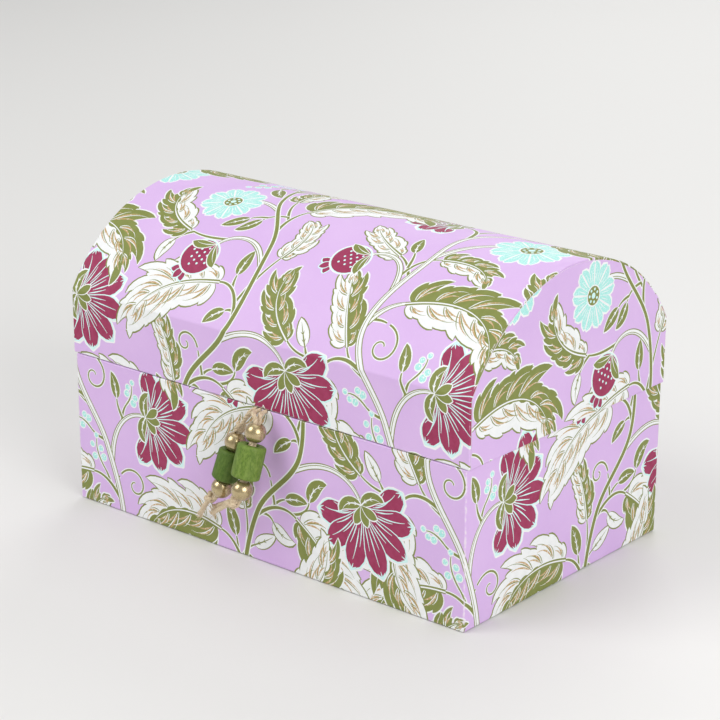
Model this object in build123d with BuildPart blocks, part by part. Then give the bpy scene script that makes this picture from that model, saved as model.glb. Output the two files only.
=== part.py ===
from build123d import *
import os
from math import pi, radians, sqrt, tan

# A trunk-shaped gift box of grey board, covered with printed paper, shown closed.
# Its front faces -Y, its length lies along X, and the origin is on the table under
# the middle of the box.

# Outside sizes of the closed box
BASE_LENGTH = 203.0
BASE_HEIGHT = 64.0
LID_LENGTH = 205.6
LID_WALL = 27.0
DOME_RISE = 36.7
PAPER_DEPTH = 126.7
SEAM = 0.3
CORNER = 0.8

# Thickness of each sheet, and how far the printed paper is turned in
BOARD = 2.0
DOME_CARD = 1.6
PRINT = 0.3
LINING = 0.25
UNDERSIDE = 0.25
HINGE_PAPER = 0.3
TURN_IN = 14.0
END_BAND = 8.0
END_MARGIN = 0.8
LINING_DROP = 2.2
UNDERSIDE_MARGIN = 3.0

# Hinge strip across the back
HINGE_LENGTH = 196.0
HINGE_WIDTH = 14.0
HINGE_GAP = 0.35

# The pull's twine: round where it hangs, pressed flat where it crosses the rim
TWINE = 1.8
PRESSED_TWINE = 1.3
TOP_BALL = 1.7
LEFT_EXIT = -1.2
RIGHT_EXITS = (1.0, 4.1)
EXIT_HEIGHT = 63.6
ROOT_START = -63.85
ROOT_END = -64.35
DENT_DEPTH = 1.5
GLUED_HEIGHT = 76.5

# Beads: the left round ones are bored for one strand, the right ones for two side by
# side; the tubes' wide bores let the round beads sink in a little
BEAD = 8.4
LEFT_BORE = 2.6
RIGHT_BORE = 4.1
BORE_EDGE = 0.3
TUBE_BORE = 4.8
LEFT_TUBE_WIDTH = 10.6
LEFT_TUBE_LENGTH = 12.2
RIGHT_TUBE_WIDTH = 11.5
RIGHT_TUBE_LENGTH = 13.3
TUBE_EDGE = 1.1

FRONT = -(PAPER_DEPTH + HINGE_PAPER) / 2
BACK = FRONT + PAPER_DEPTH
MIDDLE = (FRONT + BACK) / 2
LID_BOTTOM = BASE_HEIGHT + SEAM
TOP = LID_BOTTOM + LID_WALL + DOME_RISE
DOME_RADIUS = ((PAPER_DEPTH / 2) ** 2 + DOME_RISE**2) / (2 * DOME_RISE)
DOME_CENTRE = TOP - DOME_RADIUS

BASE_FOOT = UNDERSIDE + PRINT
BASE_BOARD_TOP = BASE_HEIGHT - PRINT
LID_BOARD_BOTTOM = LID_BOTTOM + PRINT
LID_BOARD_END = LID_LENGTH / 2 - 2 * PRINT
WALL_INNER = PRINT + BOARD
LEG_INNER = WALL_INNER + PRINT
LINED_INNER = LEG_INNER + LINING
DOME_INNER = PRINT + DOME_CARD

os.makedirs("parts", exist_ok=True)


def save(piece, name):
    """Labels one finished piece and writes it to its own file."""
    piece.part.label = name
    export_step(piece.part, f"parts/{name}.step")


def inset_rectangle(inset, mode=Mode.ADD):
    """A rectangle inside the base's plan, set in by the same amount on every side."""
    with Locations((0, MIDDLE)):
        Rectangle(BASE_LENGTH - 2 * inset, PAPER_DEPTH - 2 * inset, mode=mode)


def trunk_face(wall_inset, dome_inset, bottom, mode=Mode.ADD):
    """The lid seen from its end: two upright walls joined by the dome's arc."""
    radius = DOME_RADIUS - dome_inset
    half = PAPER_DEPTH / 2 - wall_inset
    shoulder = DOME_CENTRE + sqrt(radius**2 - half**2)
    with BuildLine() as outline:
        Polyline(
            (MIDDLE - half, shoulder),
            (MIDDLE - half, bottom),
            (MIDDLE + half, bottom),
            (MIDDLE + half, shoulder),
        )
        ThreePointArc(
            (MIDDLE - half, shoulder), (MIDDLE, DOME_CENTRE + radius), (MIDDLE + half, shoulder)
        )
    make_face(outline.edges(), mode=mode)


# Two dents that the twine has pressed into the rim: one for a strand, one for a pair

with BuildPart() as rim_dents:
    pair_middle = sum(RIGHT_EXITS) / 2
    pair_width = RIGHT_EXITS[1] - RIGHT_EXITS[0] + PRESSED_TWINE + 1.0
    with BuildSketch(Plane.XZ.offset(-FRONT - LINED_INNER - 1)):
        with Locations((LEFT_EXIT, BASE_HEIGHT)):
            Rectangle(PRESSED_TWINE + 0.7, 2 * DENT_DEPTH)
        with Locations((pair_middle, BASE_HEIGHT)):
            Rectangle(pair_width, 2 * DENT_DEPTH)
    extrude(amount=LINED_INNER + 2)

# Base: floor and four walls of grey board

with BuildPart() as floor_board:
    with BuildSketch(Plane.XY.offset(BASE_FOOT)):
        inset_rectangle(WALL_INNER)
    extrude(amount=BOARD)
save(floor_board, "base_floor_board")

for name, wall_y, outer_side in (("front", FRONT + PRINT, 0), ("back", BACK - WALL_INNER, -1)):
    with BuildPart() as wall_board:
        with BuildSketch(Plane.XY.offset(BASE_FOOT)):
            with Locations((0, wall_y)):
                Rectangle(BASE_LENGTH - 2 * PRINT, BOARD, align=(Align.CENTER, Align.MIN))
        extrude(amount=BASE_BOARD_TOP - BASE_FOOT)
        outer_edges = wall_board.edges().filter_by(Axis.Z).group_by(Axis.Y)[outer_side]
        fillet(outer_edges, CORNER - PRINT)
        if name == "front":
            add(rim_dents.part, mode=Mode.SUBTRACT)
    save(wall_board, f"base_{name}_board")

for name, side in (("left", -1), ("right", 1)):
    with BuildPart() as end_board:
        with BuildSketch(Plane.XY.offset(BASE_FOOT)):
            with Locations((side * (BASE_LENGTH / 2 - PRINT - BOARD / 2), MIDDLE)):
                Rectangle(BOARD, PAPER_DEPTH - 2 * WALL_INNER)
        extrude(amount=BASE_BOARD_TOP - BASE_FOOT)
    save(end_board, f"base_{name}_board")

# Printed paper round the base, turned in over the rim and under the floor

with BuildPart() as base_cover:
    with BuildSketch(Plane.XY.offset(UNDERSIDE)):
        with Locations((0, MIDDLE)):
            RectangleRounded(BASE_LENGTH, PAPER_DEPTH, CORNER)
    extrude(amount=BASE_HEIGHT - UNDERSIDE)
    with BuildSketch(Plane.XY.offset(BASE_FOOT)):
        with Locations((0, MIDDLE)):
            RectangleRounded(BASE_LENGTH - 2 * PRINT, PAPER_DEPTH - 2 * PRINT, CORNER - PRINT)
    extrude(amount=BASE_BOARD_TOP - BASE_FOOT, mode=Mode.SUBTRACT)
    with BuildSketch(Plane.XY.offset(BASE_HEIGHT - TURN_IN)):
        inset_rectangle(WALL_INNER)
    extrude(amount=TURN_IN)
    with BuildSketch(Plane.XY.offset(BASE_HEIGHT - TURN_IN)):
        inset_rectangle(LEG_INNER)
    extrude(amount=TURN_IN, mode=Mode.SUBTRACT)
    with BuildSketch(Plane.XY.offset(UNDERSIDE)):
        inset_rectangle(TURN_IN)
    extrude(amount=PRINT, mode=Mode.SUBTRACT)
    add(rim_dents.part, mode=Mode.SUBTRACT)
save(base_cover, "base_cover_paper")

with BuildPart() as underside_paper:
    with BuildSketch():
        inset_rectangle(UNDERSIDE_MARGIN)
    extrude(amount=UNDERSIDE)
save(underside_paper, "base_underside_paper")

# Lining of the base

LINING_FLOOR = BASE_FOOT + BOARD

with BuildPart() as floor_lining:
    with BuildSketch(Plane.XY.offset(LINING_FLOOR)):
        inset_rectangle(WALL_INNER)
    extrude(amount=LINING)
save(floor_lining, "base_floor_lining")

with BuildPart() as wall_lining:
    with BuildSketch(Plane.XY.offset(LINING_FLOOR + LINING)):
        inset_rectangle(LEG_INNER)
        inset_rectangle(LINED_INNER, mode=Mode.SUBTRACT)
    extrude(amount=BASE_HEIGHT - LINING_DROP - LINING_FLOOR - LINING)
save(wall_lining, "base_wall_lining")

# Lid: front and back walls, D-shaped ends and the bent card of the dome

for name, hidden_side in (("front", Align.MIN), ("back", Align.MAX)):
    inner_y = FRONT + WALL_INNER if name == "front" else BACK - WALL_INNER
    with BuildPart() as lid_wall_board:
        with BuildSketch(Plane.YZ.offset(-LID_BOARD_END)):
            trunk_face(PRINT, DOME_INNER, LID_BOARD_BOTTOM)
            with Locations((inner_y, 0)):
                Rectangle(
                    2 * PAPER_DEPTH, 4 * TOP, align=(hidden_side, Align.CENTER), mode=Mode.SUBTRACT
                )
        extrude(amount=2 * LID_BOARD_END)
    save(lid_wall_board, f"lid_{name}_board")

for name, start in (("left", -LID_BOARD_END), ("right", LID_BOARD_END - BOARD)):
    with BuildPart() as lid_end_board:
        with BuildSketch(Plane.YZ.offset(start)):
            trunk_face(WALL_INNER, DOME_INNER, LID_BOARD_BOTTOM)
        extrude(amount=BOARD)
    save(lid_end_board, f"lid_{name}_end_board")

with BuildPart() as dome_card:
    with BuildSketch(Plane.YZ.offset(-LID_BOARD_END)):
        trunk_face(PRINT, PRINT, LID_BOARD_BOTTOM)
        trunk_face(PRINT, DOME_INNER, LID_BOARD_BOTTOM, mode=Mode.SUBTRACT)
    extrude(amount=2 * LID_BOARD_END)
save(dome_card, "lid_dome_board")

# Printed paper over the lid's front, dome and back: turned in along the lower edges,
# and folded round onto the ends as a narrow band

LID_INSIDE_END = LID_BOARD_END - BOARD

with BuildPart() as lid_cover:
    with BuildSketch(Plane.YZ.offset(-LID_BOARD_END)):
        trunk_face(0, 0, LID_BOTTOM)
        trunk_face(PRINT, PRINT, LID_BOARD_BOTTOM, mode=Mode.SUBTRACT)
        with Locations((MIDDLE, LID_BOTTOM)):
            Rectangle(PAPER_DEPTH - 2 * LEG_INNER, 4 * PRINT, mode=Mode.SUBTRACT)
    extrude(amount=2 * LID_BOARD_END)
    with BuildSketch(Plane.YZ.offset(-LID_INSIDE_END)):
        with Locations((FRONT + WALL_INNER, LID_BOTTOM), (BACK - LEG_INNER, LID_BOTTOM)):
            Rectangle(PRINT, TURN_IN, align=Align.MIN)
    extrude(amount=2 * LID_INSIDE_END)
    for start in (-LID_BOARD_END - PRINT, LID_BOARD_END):
        with BuildSketch(Plane.YZ.offset(start)):
            trunk_face(0, 0, LID_BOARD_BOTTOM + PRINT)
            trunk_face(END_BAND, END_BAND, LID_BOTTOM, mode=Mode.SUBTRACT)
        extrude(amount=PRINT)
save(lid_cover, "lid_cover_paper")

# Printed end sheets, a little smaller than the ends, turned in along the lower edge

for name, side in (("left", -1), ("right", 1)):
    outer = side * LID_LENGTH / 2
    leg = side * (LID_INSIDE_END - PRINT / 2)
    with BuildPart() as end_paper:
        with BuildSketch(Plane.YZ.offset(outer)):
            trunk_face(END_MARGIN, END_MARGIN, LID_BOTTOM)
        extrude(amount=-side * PRINT)
        with BuildSketch(Plane.YZ.offset(outer - side * PRINT)):
            with Locations((MIDDLE, LID_BOTTOM)):
                Rectangle(
                    PAPER_DEPTH - 2 * LEG_INNER, PRINT, align=(Align.CENTER, Align.MIN)
                )
        extrude(amount=-side * (BOARD + 2 * PRINT))
        with BuildSketch(Plane.YZ.offset(leg - side * PRINT / 2)):
            with Locations((MIDDLE, LID_BOTTOM)):
                Rectangle(
                    PAPER_DEPTH - 2 * LEG_INNER, TURN_IN, align=(Align.CENTER, Align.MIN)
                )
        extrude(amount=side * PRINT)
    save(end_paper, f"lid_{name}_end_paper")

# Lining of the lid

LID_LINING_BOTTOM = LID_BOTTOM + LINING_DROP
LID_LINING_END = LID_INSIDE_END - PRINT

with BuildPart() as dome_lining:
    with BuildSketch(Plane.YZ.offset(-LID_LINING_END)):
        trunk_face(LEG_INNER, DOME_INNER, LID_LINING_BOTTOM)
        trunk_face(
            LINED_INNER, DOME_INNER + LINING, LID_LINING_BOTTOM, mode=Mode.SUBTRACT
        )
    extrude(amount=2 * LID_LINING_END)
save(dome_lining, "lid_dome_lining")

for name, start in (("left", -LID_LINING_END), ("right", LID_LINING_END - LINING)):
    with BuildPart() as end_lining:
        with BuildSketch(Plane.YZ.offset(start)):
            trunk_face(LINED_INNER, DOME_INNER + LINING, LID_LINING_BOTTOM)
        extrude(amount=LINING)
    save(end_lining, f"lid_{name}_end_lining")

# Hinge strip: one half glued to each back wall, folding on its outer face at the seam

FOLD_HEIGHT = BASE_HEIGHT + SEAM / 2

for name, low in (
    ("lower", FOLD_HEIGHT - HINGE_GAP - HINGE_WIDTH),
    ("upper", FOLD_HEIGHT + HINGE_GAP),
):
    with BuildPart() as hinge_half:
        with BuildSketch(Plane.XY.offset(low)):
            with Locations((0, BACK)):
                Rectangle(HINGE_LENGTH, HINGE_PAPER, align=(Align.CENTER, Align.MIN))
        extrude(amount=HINGE_WIDTH)
    save(hinge_half, f"hinge_strip_{name}")

# The pull's glued ends: they cross the rim under the lid's front wall and turn up inside

INSIDE_FRONT = FRONT + LINED_INNER
LEG_Y = INSIDE_FRONT + PRESSED_TWINE / 2 + 0.1
ALL_EXITS = (LEFT_EXIT, *RIGHT_EXITS)

with BuildPart() as glued_ends:
    for exit_x in ALL_EXITS:
        with BuildLine() as leg_route:
            FilletPolyline(
                (exit_x, FRONT - 0.1, EXIT_HEIGHT),
                (exit_x, LEG_Y, EXIT_HEIGHT),
                (exit_x, LEG_Y, GLUED_HEIGHT),
                radius=PRESSED_TWINE * 0.75,
            )
        with BuildSketch(Plane(origin=leg_route.line @ 0, z_dir=leg_route.line % 0)):
            Circle(PRESSED_TWINE / 2)
        sweep(path=leg_route.line)
save(glued_ends, "twine_glued_ends")

# A patch of lining paper glued over those ends, raised like a shallow pocket

PATCH_SIZE = 14.0
PATCH_RISE = 1.9
PATCH_MIDDLE = (sum(ALL_EXITS) / len(ALL_EXITS), 74.0)
PATCH_PLANE = Plane(
    origin=(PATCH_MIDDLE[0], INSIDE_FRONT, PATCH_MIDDLE[1]), x_dir=(-1, 0, 0), z_dir=(0, 1, 0)
)

with BuildPart() as patch:
    with BuildSketch(PATCH_PLANE):
        RectangleRounded(PATCH_SIZE, PATCH_SIZE, 1.5)
    extrude(amount=PATCH_RISE, taper=35)
    with BuildSketch(PATCH_PLANE):
        RectangleRounded(PATCH_SIZE - 1.0, PATCH_SIZE - 1.0, 1.2)
    extrude(amount=PATCH_RISE - LINING, taper=35, mode=Mode.SUBTRACT)
    with BuildSketch(PATCH_PLANE):
        with Locations((0, -PATCH_SIZE / 2)):
            Rectangle(ALL_EXITS[-1] - ALL_EXITS[0] + 2.2, PATCH_SIZE / 2)
    extrude(amount=PATCH_RISE - LINING, mode=Mode.SUBTRACT)
save(patch, "twine_patch")

# Three short roots of twine that come out of the seam; they turn as the pull sways

with BuildPart() as roots:
    with BuildSketch(Plane.XZ.offset(-ROOT_START)):
        with Locations(*[(exit_x, EXIT_HEIGHT) for exit_x in ALL_EXITS]):
            Circle(PRESSED_TWINE / 2)
    extrude(amount=ROOT_START - ROOT_END)
save(roots, "twine_root")

# Where the beads hang: the middles of the round beads, upper and lower, on each side.
# The stiff twine comes straight out of the seam, so the pull stands off the wall and its
# left tail leans on it

LEFT_UPPER = Vector(-6.95, -69.0, 49.83)
LEFT_LOWER = Vector(-10.17, -73.59, 31.44)
RIGHT_UPPER = Vector(6.01, -71.4, 57.64)
RIGHT_LOWER = Vector(4.49, -77.78, 35.4)
LEFT_DOWN = (LEFT_LOWER - LEFT_UPPER).normalized()
RIGHT_DOWN = (RIGHT_LOWER - RIGHT_UPPER).normalized()

for name, centre, down, bore in (
    ("left_upper", LEFT_UPPER, LEFT_DOWN, LEFT_BORE),
    ("left_lower", LEFT_LOWER, LEFT_DOWN, LEFT_BORE),
    ("right_upper", RIGHT_UPPER, RIGHT_DOWN, RIGHT_BORE),
    ("right_lower", RIGHT_LOWER, RIGHT_DOWN, RIGHT_BORE),
):
    with BuildPart(Plane(origin=centre, z_dir=down)) as bead:
        Sphere(BEAD / 2)
        Cylinder(bore / 2, BEAD, mode=Mode.SUBTRACT)
        fillet(bead.edges().filter_by(GeomType.CIRCLE), BORE_EDGE)
    save(bead, f"bead_{name}")

LEFT_MIDDLE = (LEFT_UPPER + LEFT_LOWER) / 2
RIGHT_MIDDLE = (RIGHT_UPPER + RIGHT_LOWER) / 2

for name, centre, down, width, length in (
    ("left", LEFT_MIDDLE, LEFT_DOWN, LEFT_TUBE_WIDTH, LEFT_TUBE_LENGTH),
    ("right", RIGHT_MIDDLE, RIGHT_DOWN, RIGHT_TUBE_WIDTH, RIGHT_TUBE_LENGTH),
):
    with BuildPart(Plane(origin=centre, z_dir=down)) as tube_bead:
        Cylinder(width / 2, length)
        fillet(tube_bead.edges().filter_by(GeomType.CIRCLE), TUBE_EDGE)
        Cylinder(TUBE_BORE / 2, length, mode=Mode.SUBTRACT)
    save(tube_bead, f"tube_bead_{name}")


def bend_radii(route):
    """The largest radius for each corner that its two runs leave room for."""
    radii = []
    for before, corner, after in zip(route, route[1:], route[2:]):
        half_turn = radians((corner - before).get_angle(after - corner)) / 2
        shorter = min((corner - before).length, (after - corner).length)
        radii.append(0.45 * shorter / tan(half_turn))
    return radii


def hang_strand(name, points):
    """One strand from its rounded top, where it lifts, through its beads to its tail."""
    route = [Vector(*point) for point in points]
    radii = bend_radii(route)
    with BuildPart() as strand:
        with BuildLine() as path:
            FilletPolyline(*route, radius=radii)
        with BuildSketch(Plane(origin=path.line @ 0, z_dir=path.line % 0)):
            Circle(TWINE / 2)
        sweep()
    length = sum(edge.length for edge in path.edges())
    expected = pi * (TWINE / 2) ** 2 * length
    print(name, "length", round(length, 2), "radii", [round(radius, 2) for radius in radii])
    print(name, "volume", round(strand.part.volume, 2), "section times length", round(expected, 2))
    with strand, Locations(route[0]):
        Sphere(TOP_BALL / 2)
    save(strand, name)


# Each strand bends down into its upper bead, runs straight through the beads, and turns
# aside at the lower knot to end in a short tail. The first points of all three lie on
# one line along X, about which the pull lifts

KNOT_ABOVE = 6.2
LEFT_KNOT = Vector(-16.03, -74.0, 25.97)
RIGHT_KNOT = Vector(0.79, -79.15, 29.85)

hang_strand(
    "twine_left",
    [
        (-1.2, -65.5, 63.2),
        (-1.5, -66.9, 62.2),
        (-3.5, -66.9, 59.6),
        (-6.11, -67.81, 54.61),
        (-10.97, -74.74, 26.85),
        (-16.03, -74.0, 25.97),
        (-23.09, -70.0, 19.26),
        (-31.01, -65.2, 11.5),
    ],
)

hang_strand(
    "twine_right_front",
    [
        (1.0, -65.5, 63.2),
        (1.7, -68.3, 63.8),
        (5.0, -71.0, 64.5),
        (6.32, -71.02, 62.41),
        (4.18, -79.99, 31.15),
        (0.37, -80.06, 29.88),
        (-6.6, -77.0, 25.2),
        (-17.19, -71.8, 18.44),
    ],
)

hang_strand(
    "twine_right_back",
    [
        (4.1, -65.5, 63.2),
        (5.5, -68.0, 64.1),
        (6.32, -69.19, 61.89),
        (4.18, -78.16, 30.63),
        (1.21, -78.24, 29.83),
        (-8.51, -74.6, 25.9),
        (-18.42, -70.2, 19.73),
    ],
)

# Knots in the twine, each a small tight ball

for name, centre, along, width, length in (
    ("left_upper", LEFT_UPPER - LEFT_DOWN * KNOT_ABOVE, LEFT_DOWN, 4.4, 4.2),
    ("left_lower", LEFT_KNOT, Vector(-6.1, 2.8, -4.6), 4.4, 4.4),
    ("right_lower", RIGHT_KNOT, Vector(-6.9, 2.3, -3.6), 5.2, 4.6),
):
    with BuildPart(Plane(origin=centre, z_dir=along)) as knot:
        Cylinder(width / 2, length)
        fillet(knot.edges().filter_by(GeomType.CIRCLE), width * 0.42)
    save(knot, f"knot_{name}")
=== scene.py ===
import math

import bmesh
import bpy
import numpy as np
from mathutils import Matrix, Vector, geometry


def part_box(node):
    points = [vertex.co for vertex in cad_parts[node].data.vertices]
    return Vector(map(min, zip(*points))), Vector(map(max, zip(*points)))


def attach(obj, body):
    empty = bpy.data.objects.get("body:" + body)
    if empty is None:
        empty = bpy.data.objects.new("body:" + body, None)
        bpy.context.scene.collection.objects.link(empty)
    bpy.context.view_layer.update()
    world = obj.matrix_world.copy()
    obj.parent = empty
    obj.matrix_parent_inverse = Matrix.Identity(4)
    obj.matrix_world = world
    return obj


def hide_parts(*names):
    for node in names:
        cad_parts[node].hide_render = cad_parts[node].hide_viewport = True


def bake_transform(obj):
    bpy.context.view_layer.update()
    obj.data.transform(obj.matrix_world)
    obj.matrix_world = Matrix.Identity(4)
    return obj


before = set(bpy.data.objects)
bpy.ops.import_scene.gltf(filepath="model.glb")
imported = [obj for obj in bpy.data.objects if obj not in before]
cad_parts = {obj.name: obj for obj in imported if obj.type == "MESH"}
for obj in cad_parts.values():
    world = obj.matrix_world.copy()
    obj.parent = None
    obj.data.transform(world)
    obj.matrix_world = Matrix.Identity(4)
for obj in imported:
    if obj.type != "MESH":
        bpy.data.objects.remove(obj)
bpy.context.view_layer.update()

# The viewer stands before the box's right front corner and looks a little down on it.
# The lens is a long one, so the box keeps nearly straight sides
EYE = Vector((0.56155, -0.66851, 0.36574))
LOOK_AT = Vector((-0.00443, 0.00276, 0.06528))
EYE_ROLL = math.radians(0.155)
FIELD_OF_VIEW = math.radians(17.93)

camera = bpy.data.objects.new("camera", bpy.data.cameras.new("camera"))
bpy.context.scene.collection.objects.link(camera)
camera.rotation_mode = "QUATERNION"
camera.location = EYE
camera.rotation_quaternion = (LOOK_AT - EYE).to_track_quat("-Z", "Y")
camera.rotation_quaternion @= Matrix.Rotation(EYE_ROLL, 3, "Z").to_quaternion()
camera.data.angle = FIELD_OF_VIEW
bpy.context.scene.camera = camera
bpy.context.scene.view_settings.view_transform = "Standard"

# The box stands on a plain pale floor under a wide soft lamp from the upper left, with
# weaker ones at its right, behind and above, and an even light all round
FLOOR_COLOUR = (0.74, 0.735, 0.72, 1)
FLOOR_SIZE = 6.0
LAMPS = {
    "main": ((-0.75, -1.15, 1.25), 1.0, 14.0),
    "right": ((1.35, -0.45, 0.75), 1.0, 13.0),
    "top": ((0.0, 0.35, 1.6), 1.4, 5.8),
    "back": ((-0.5, 1.4, 0.9), 1.0, 7.0),
}
LAMPS_AIM = Vector((0, 0, 0.06))
ROOM_LIGHT = 0.42
MM = 0.001

for lamp_name, (place, width, watts) in LAMPS.items():
    lamp = bpy.data.objects.new(f"lamp_{lamp_name}", bpy.data.lights.new(lamp_name, "AREA"))
    lamp.data.size = width
    lamp.data.energy = watts
    lamp.location = place
    lamp.rotation_euler = (LAMPS_AIM - Vector(place)).to_track_quat("-Z", "Y").to_euler()
    bpy.context.scene.collection.objects.link(lamp)

room = bpy.data.worlds.new("room")
room.use_nodes = True
room.node_tree.nodes["Background"].inputs["Color"].default_value = (1, 1, 1, 1)
room.node_tree.nodes["Background"].inputs["Strength"].default_value = ROOM_LIGHT
bpy.context.scene.world = room


def make_piece(name, points, faces, finish=None):
    """A new piece from points in millimetres."""
    mesh = bpy.data.meshes.new(name)
    mesh.from_pydata(np.asarray(points) * MM, [], faces)
    if finish:
        mesh.materials.append(finish)
    piece = bpy.data.objects.new(name, mesh)
    bpy.context.scene.collection.objects.link(piece)
    return piece


def new_finish(name, **settings):
    """A new material, with constant values set on its own shader."""
    finish = bpy.data.materials.new(name)
    finish.use_nodes = True
    for key, value in settings.items():
        socket = key.replace("_", " ").title().replace("Ior", "IOR")
        finish.node_tree.nodes["Principled BSDF"].inputs[socket].default_value = value
    return finish


floor_finish = new_finish("floor_paint", base_color=FLOOR_COLOUR, roughness=0.6)
edge = FLOOR_SIZE * 1000 / 2
floor = make_piece(
    "floor", [(-edge, -edge, 0), (edge, -edge, 0), (edge, edge, 0), (-edge, edge, 0)],
    [(0, 1, 2, 3)], floor_finish,
)

# Grey board, 2 mm thick, makes the tray's floor and walls and the lid's walls and ends,
# and a thinner bent card its dome. It is butted and glued, and shows only at cut edges
GREY_BOARD = (0.47, 0.45, 0.42, 1)
BOARD_DARK = (0.38, 0.36, 0.33, 1)
BOARD_FIBRES = (0.62, 0.6, 0.57, 1)
FIBRE_BEND = 0.0022


def add_node(tree, kind, wires=(), **settings):
    """A new node with its settings, and each input by name or number: a value or a socket."""
    node = tree.nodes.new(kind)
    for key, value in settings.items():
        setattr(node, key, value)
    for key, value in dict(wires).items():
        if isinstance(value, bpy.types.NodeSocket):
            tree.links.new(value, node.inputs[key])
        else:
            node.inputs[key].default_value = value
    return node


def maths(tree, operation, *values):
    """The result of a sum on sockets and numbers, kept between 0 and 1."""
    node = add_node(tree, "ShaderNodeMath", enumerate(values), operation=operation, use_clamp=True)
    return node.outputs[0]


def noise(tree, place, size, detail=3.0, rough=0.55):
    """A cloudy value from 0 to 1, with a size in millimetres where its place is in metres."""
    if isinstance(size, bpy.types.NodeSocket):
        scale = add_node(tree, "ShaderNodeMath", {0: 1000.0, 1: size}, operation="DIVIDE").outputs[0]
    else:
        scale = 1000 / size
    wires = {"Vector": place, "Scale": scale, "Detail": detail, "Roughness": rough}
    return add_node(tree, "ShaderNodeTexNoise", wires).outputs["Fac"]


def mix_colours(tree, share, first, second, kind="MIX"):
    """The second colour over the first, by a share."""
    wires = {0: share, 6: first, 7: second}
    return add_node(tree, "ShaderNodeMix", wires, data_type="RGBA", blend_type=kind).outputs[2]


def spread(tree, value, low, high, to_low=0.0, to_high=1.0):
    """A value stretched from one range to another."""
    wires = {"Value": value, "From Min": low, "From Max": high, "To Min": to_low, "To Max": to_high}
    return add_node(tree, "ShaderNodeMapRange", wires).outputs["Result"]


def start_group(name, inputs, outputs):
    """An empty shader node group with named numbers in, each with its usual value, and out."""
    group = bpy.data.node_groups.new(name, "ShaderNodeTree")
    for label, value in inputs.items():
        socket = group.interface.new_socket(label, in_out="INPUT", socket_type="NodeSocketFloat")
        socket.default_value = value
    for label in outputs:
        group.interface.new_socket(label, in_out="OUTPUT", socket_type="NodeSocketFloat")
    return group, group.nodes.new("NodeGroupInput").outputs, group.nodes.new("NodeGroupOutput").inputs


def place_group(tree, group, wires=()):
    """Places a node group in a material and returns its outputs."""
    return add_node(tree, "ShaderNodeGroup", wires, node_tree=group).outputs


def object_place(tree):
    """Where a point lies on its piece."""
    return tree.nodes.new("ShaderNodeTexCoord").outputs["Object"]


def kept_value(tree, name, output="Fac"):
    """A value that a piece's mesh keeps under a name."""
    return add_node(tree, "ShaderNodeAttribute", attribute_name=name).outputs[output]


def wire_shader(finish, colour, roughness=None, height=None, depth=0.05):
    """Feeds a material's own shader; the height's full range is its depth, in millimetres."""
    tree = finish.node_tree
    shader = tree.nodes["Principled BSDF"].inputs
    tree.links.new(colour, shader["Base Color"])
    if roughness:
        tree.links.new(roughness, shader["Roughness"])
    if height:
        bump = add_node(tree, "ShaderNodeBump", {"Height": height, "Distance": depth * MM})
        tree.links.new(bump.outputs["Normal"], shader["Normal"])


paper_tooth, tooth_in, tooth_out = start_group(
    "paper_tooth", {"Grain": 0.35, "Fibre": 1.2, "Cloud": 24.0}, ["Height", "Fibres", "Cloud"])
where = object_place(paper_tooth)
grain = noise(paper_tooth, where, tooth_in["Grain"], 2.0, 0.5)
bend = add_node(paper_tooth, "ShaderNodeTexNoise", {"Vector": where, "Scale": 260.0, "Detail": 1.0})
bent = add_node(
    paper_tooth, "ShaderNodeVectorMath",
    {0: bend.outputs["Color"], 1: [FIBRE_BEND] * 3}, operation="MULTIPLY",
)
shifted = add_node(paper_tooth, "ShaderNodeVectorMath", {0: where, 1: bent.outputs[0]}, operation="ADD")
threads = noise(paper_tooth, shifted.outputs[0], tooth_in["Fibre"], 0.0, 0.5)
thread_line = maths(paper_tooth, "ABSOLUTE", add_node(
    paper_tooth, "ShaderNodeMath", {0: threads, 1: 0.5}, operation="SUBTRACT").outputs[0])
thread = spread(paper_tooth, thread_line, 0.0, 0.03, 1.0, 0.0)
clouds = noise(paper_tooth, where, tooth_in["Cloud"], 3.0, 0.5)
height = maths(paper_tooth, "MULTIPLY_ADD", thread, 0.25, maths(paper_tooth, "MULTIPLY", grain, 0.7))
paper_tooth.links.new(height, tooth_out["Height"])
paper_tooth.links.new(thread, tooth_out["Fibres"])
paper_tooth.links.new(clouds, tooth_out["Cloud"])

board_finish = new_finish("grey_board", roughness=0.9, specular_ior_level=0.25)
tree = board_finish.node_tree
tooth = place_group(tree, paper_tooth, {"Grain": 0.6, "Fibre": 0.9, "Cloud": 9.0})
colour = mix_colours(tree, maths(tree, "MULTIPLY", tooth["Cloud"], 0.5), GREY_BOARD, BOARD_DARK)
colour = mix_colours(tree, maths(tree, "MULTIPLY", tooth["Fibres"], 0.35), colour, BOARD_FIBRES)
wire_shader(board_finish, colour, None, tooth["Height"], 0.08)


def dress(finish, *names):
    """Gives the parts of these names a finish."""
    for name in names:
        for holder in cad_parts[name].material_slots:
            holder.material = finish


dress(
    board_finish, "base_floor_board", "base_front_board", "base_back_board", "base_left_board",
    "base_right_board", "lid_front_board", "lid_back_board", "lid_left_end_board",
    "lid_right_end_board", "lid_dome_board",
)

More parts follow.
